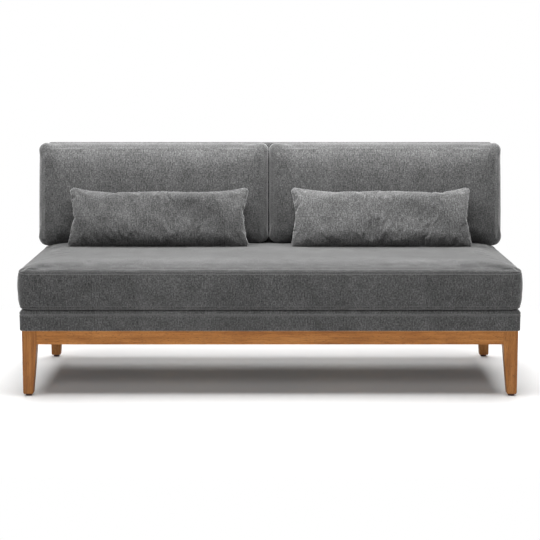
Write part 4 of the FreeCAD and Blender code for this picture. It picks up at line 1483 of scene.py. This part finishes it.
def build_pillow(hand, material, seed):
    """A pillow standing on the seat against its back cushion. Its upper edge bows down in
    the middle and its lower edge is straightened, because it rests on the seat."""
    low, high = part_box(f"{hand}_pillow_cover")
    width = high.x - low.x
    front, rear, flat = pillow_form(width, pillow_height, pillow_thickness, seed)
    flat = refined(flat)
    front = gathered(refined(front), flat, 1, seed)
    rear = gathered(refined(rear), flat, -1, seed + 5)
    for grid in (front, rear):
        across_share = np.clip(1 - (2 * grid[..., 0] / width) ** 4, 0, 1)
        grid[..., 1] -= pillow_bow * across_share * np.clip(grid[..., 1] / pillow_height, 0, 1) ** 3
        share = np.clip(1 - grid[..., 1] / (0.8 * pillow_height), 0, 1)
        grid[..., 1] -= grid[:, :1, 1] * share**1.5
    points, faces, front_ids, rear_ids = sewn_together(front, rear)
    standing = stand(points, pillow_lean, (0, 0, 0))
    lowest = standing[:, 2].min()
    cushion_front = deck_rear + (low.z - deck_top) * math.tan(lean)
    cushion_front -= cushion_thickness / math.cos(lean) + 1.0 * mm
    rearmost = (standing[:, 1] - (standing[:, 2] - lowest) * math.tan(lean)).max()
    standing += np.array([(low.x + high.x) / 2, cushion_front - rearmost, low.z - lowest - pillow_sunk])
    weave = np.zeros((len(points), 2))
    weave[front_ids] = flat
    weave[rear_ids] = flat
    from_seam = np.minimum(weave - weave.min(0), weave.max(0) - weave).min(1)
    # Paler edge seam: partly pile pressed open, partly painted sheen.
    sheen_and_wear = 0.75 * np.exp(-((from_seam / (2.6 * mm)) ** 2))
    name = f"{hand}_pillow"
    made = mesh_object(name, standing, faces, material, weave[faces], sheen_and_wear)
    belong(made, name, [name + "_cover", name + "_filling"])


build_pillow("left", left_pillow_chenille, 3)
build_pillow("right", right_pillow_chenille, 11)


# %% [markdown]
# ## Small fasteners below
#
# Turned over, the sofa shows how it is put together: the black dust cloth is stapled to the
# deck's frame all round, and screws through the stretchers hold the deck on the base.

# %% Staples
def staples():
    """Staples along the dust cover's edges, 8 mm inside them and 45 mm apart."""
    low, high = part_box("dust_cover")
    below = low.z - 0.25 * mm
    xs = np.arange(low.x + 30 * mm, high.x - 25 * mm, 45 * mm)
    ys = np.arange(low.y + 30 * mm, high.y - 25 * mm, 45 * mm)
    centres = [(x, y, below) for x in (low.x + 8 * mm, high.x - 8 * mm) for y in ys]
    centres += [(x, y, below) for y in (low.y + 8 * mm, high.y - 8 * mm) for x in xs]
    turn = np.repeat([math.pi / 2, 0.0], [2 * len(ys), 2 * len(xs)])
    turn = turn + np.random.default_rng(4).normal(0, 0.08, len(turn))
    zero = np.zeros_like(turn)
    ahead = np.stack([np.cos(turn), np.sin(turn), zero], -1)
    across = np.stack([-np.sin(turn), np.cos(turn), zero], -1)
    axes = np.stack([ahead, across, np.broadcast_to([0.0, 0.0, 1.0], ahead.shape)], 1)
    points, faces = small_boxes(np.array(centres), axes, (10 * mm, 1.2 * mm, 0.5 * mm))
    made = mesh_object("dust_cover_staples", points, faces, zinc_steel, smooth=False)
    belong(made, "frame")


staples()


# %% Screws
def deck_screws():
    """Round screw heads under the two stretchers: a low profile of (radius, height) turned
    about the screw's axis."""
    profile = np.array([(0.0, -2.4), (2.6, -2.2), (4.4, -1.4), (5.0, -0.5), (5.0, 0.0)]) * mm
    angles = np.radians(np.arange(0, 360, 22.5))
    rounds = profile[:, :1] * np.stack([np.cos(angles), np.sin(angles)])[:, None]
    head = np.stack([*rounds, np.repeat(profile[:, 1:], len(angles), 1)], -1)
    ids = np.arange(head[..., 0].size).reshape(head.shape[:2])
    one = quads(np.concatenate([ids, ids[:, :1]], 1))[:, ::-1]
    places = []
    for name in ("left_stretcher", "right_stretcher"):
        low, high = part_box(name)
        ys = [low.y + share * (high.y - low.y) for share in (0.2, 0.5, 0.8)]
        places += [((low.x + high.x) / 2, y, low.z) for y in ys]
    points = np.array(places)[:, None] + head.reshape(-1, 3)
    faces = ids.size * np.arange(len(places))[:, None, None] + one
    made = mesh_object("deck_screws", points.reshape(-1, 3), faces.reshape(-1, 4), zinc_steel)
    belong(made, "frame")


deck_screws()
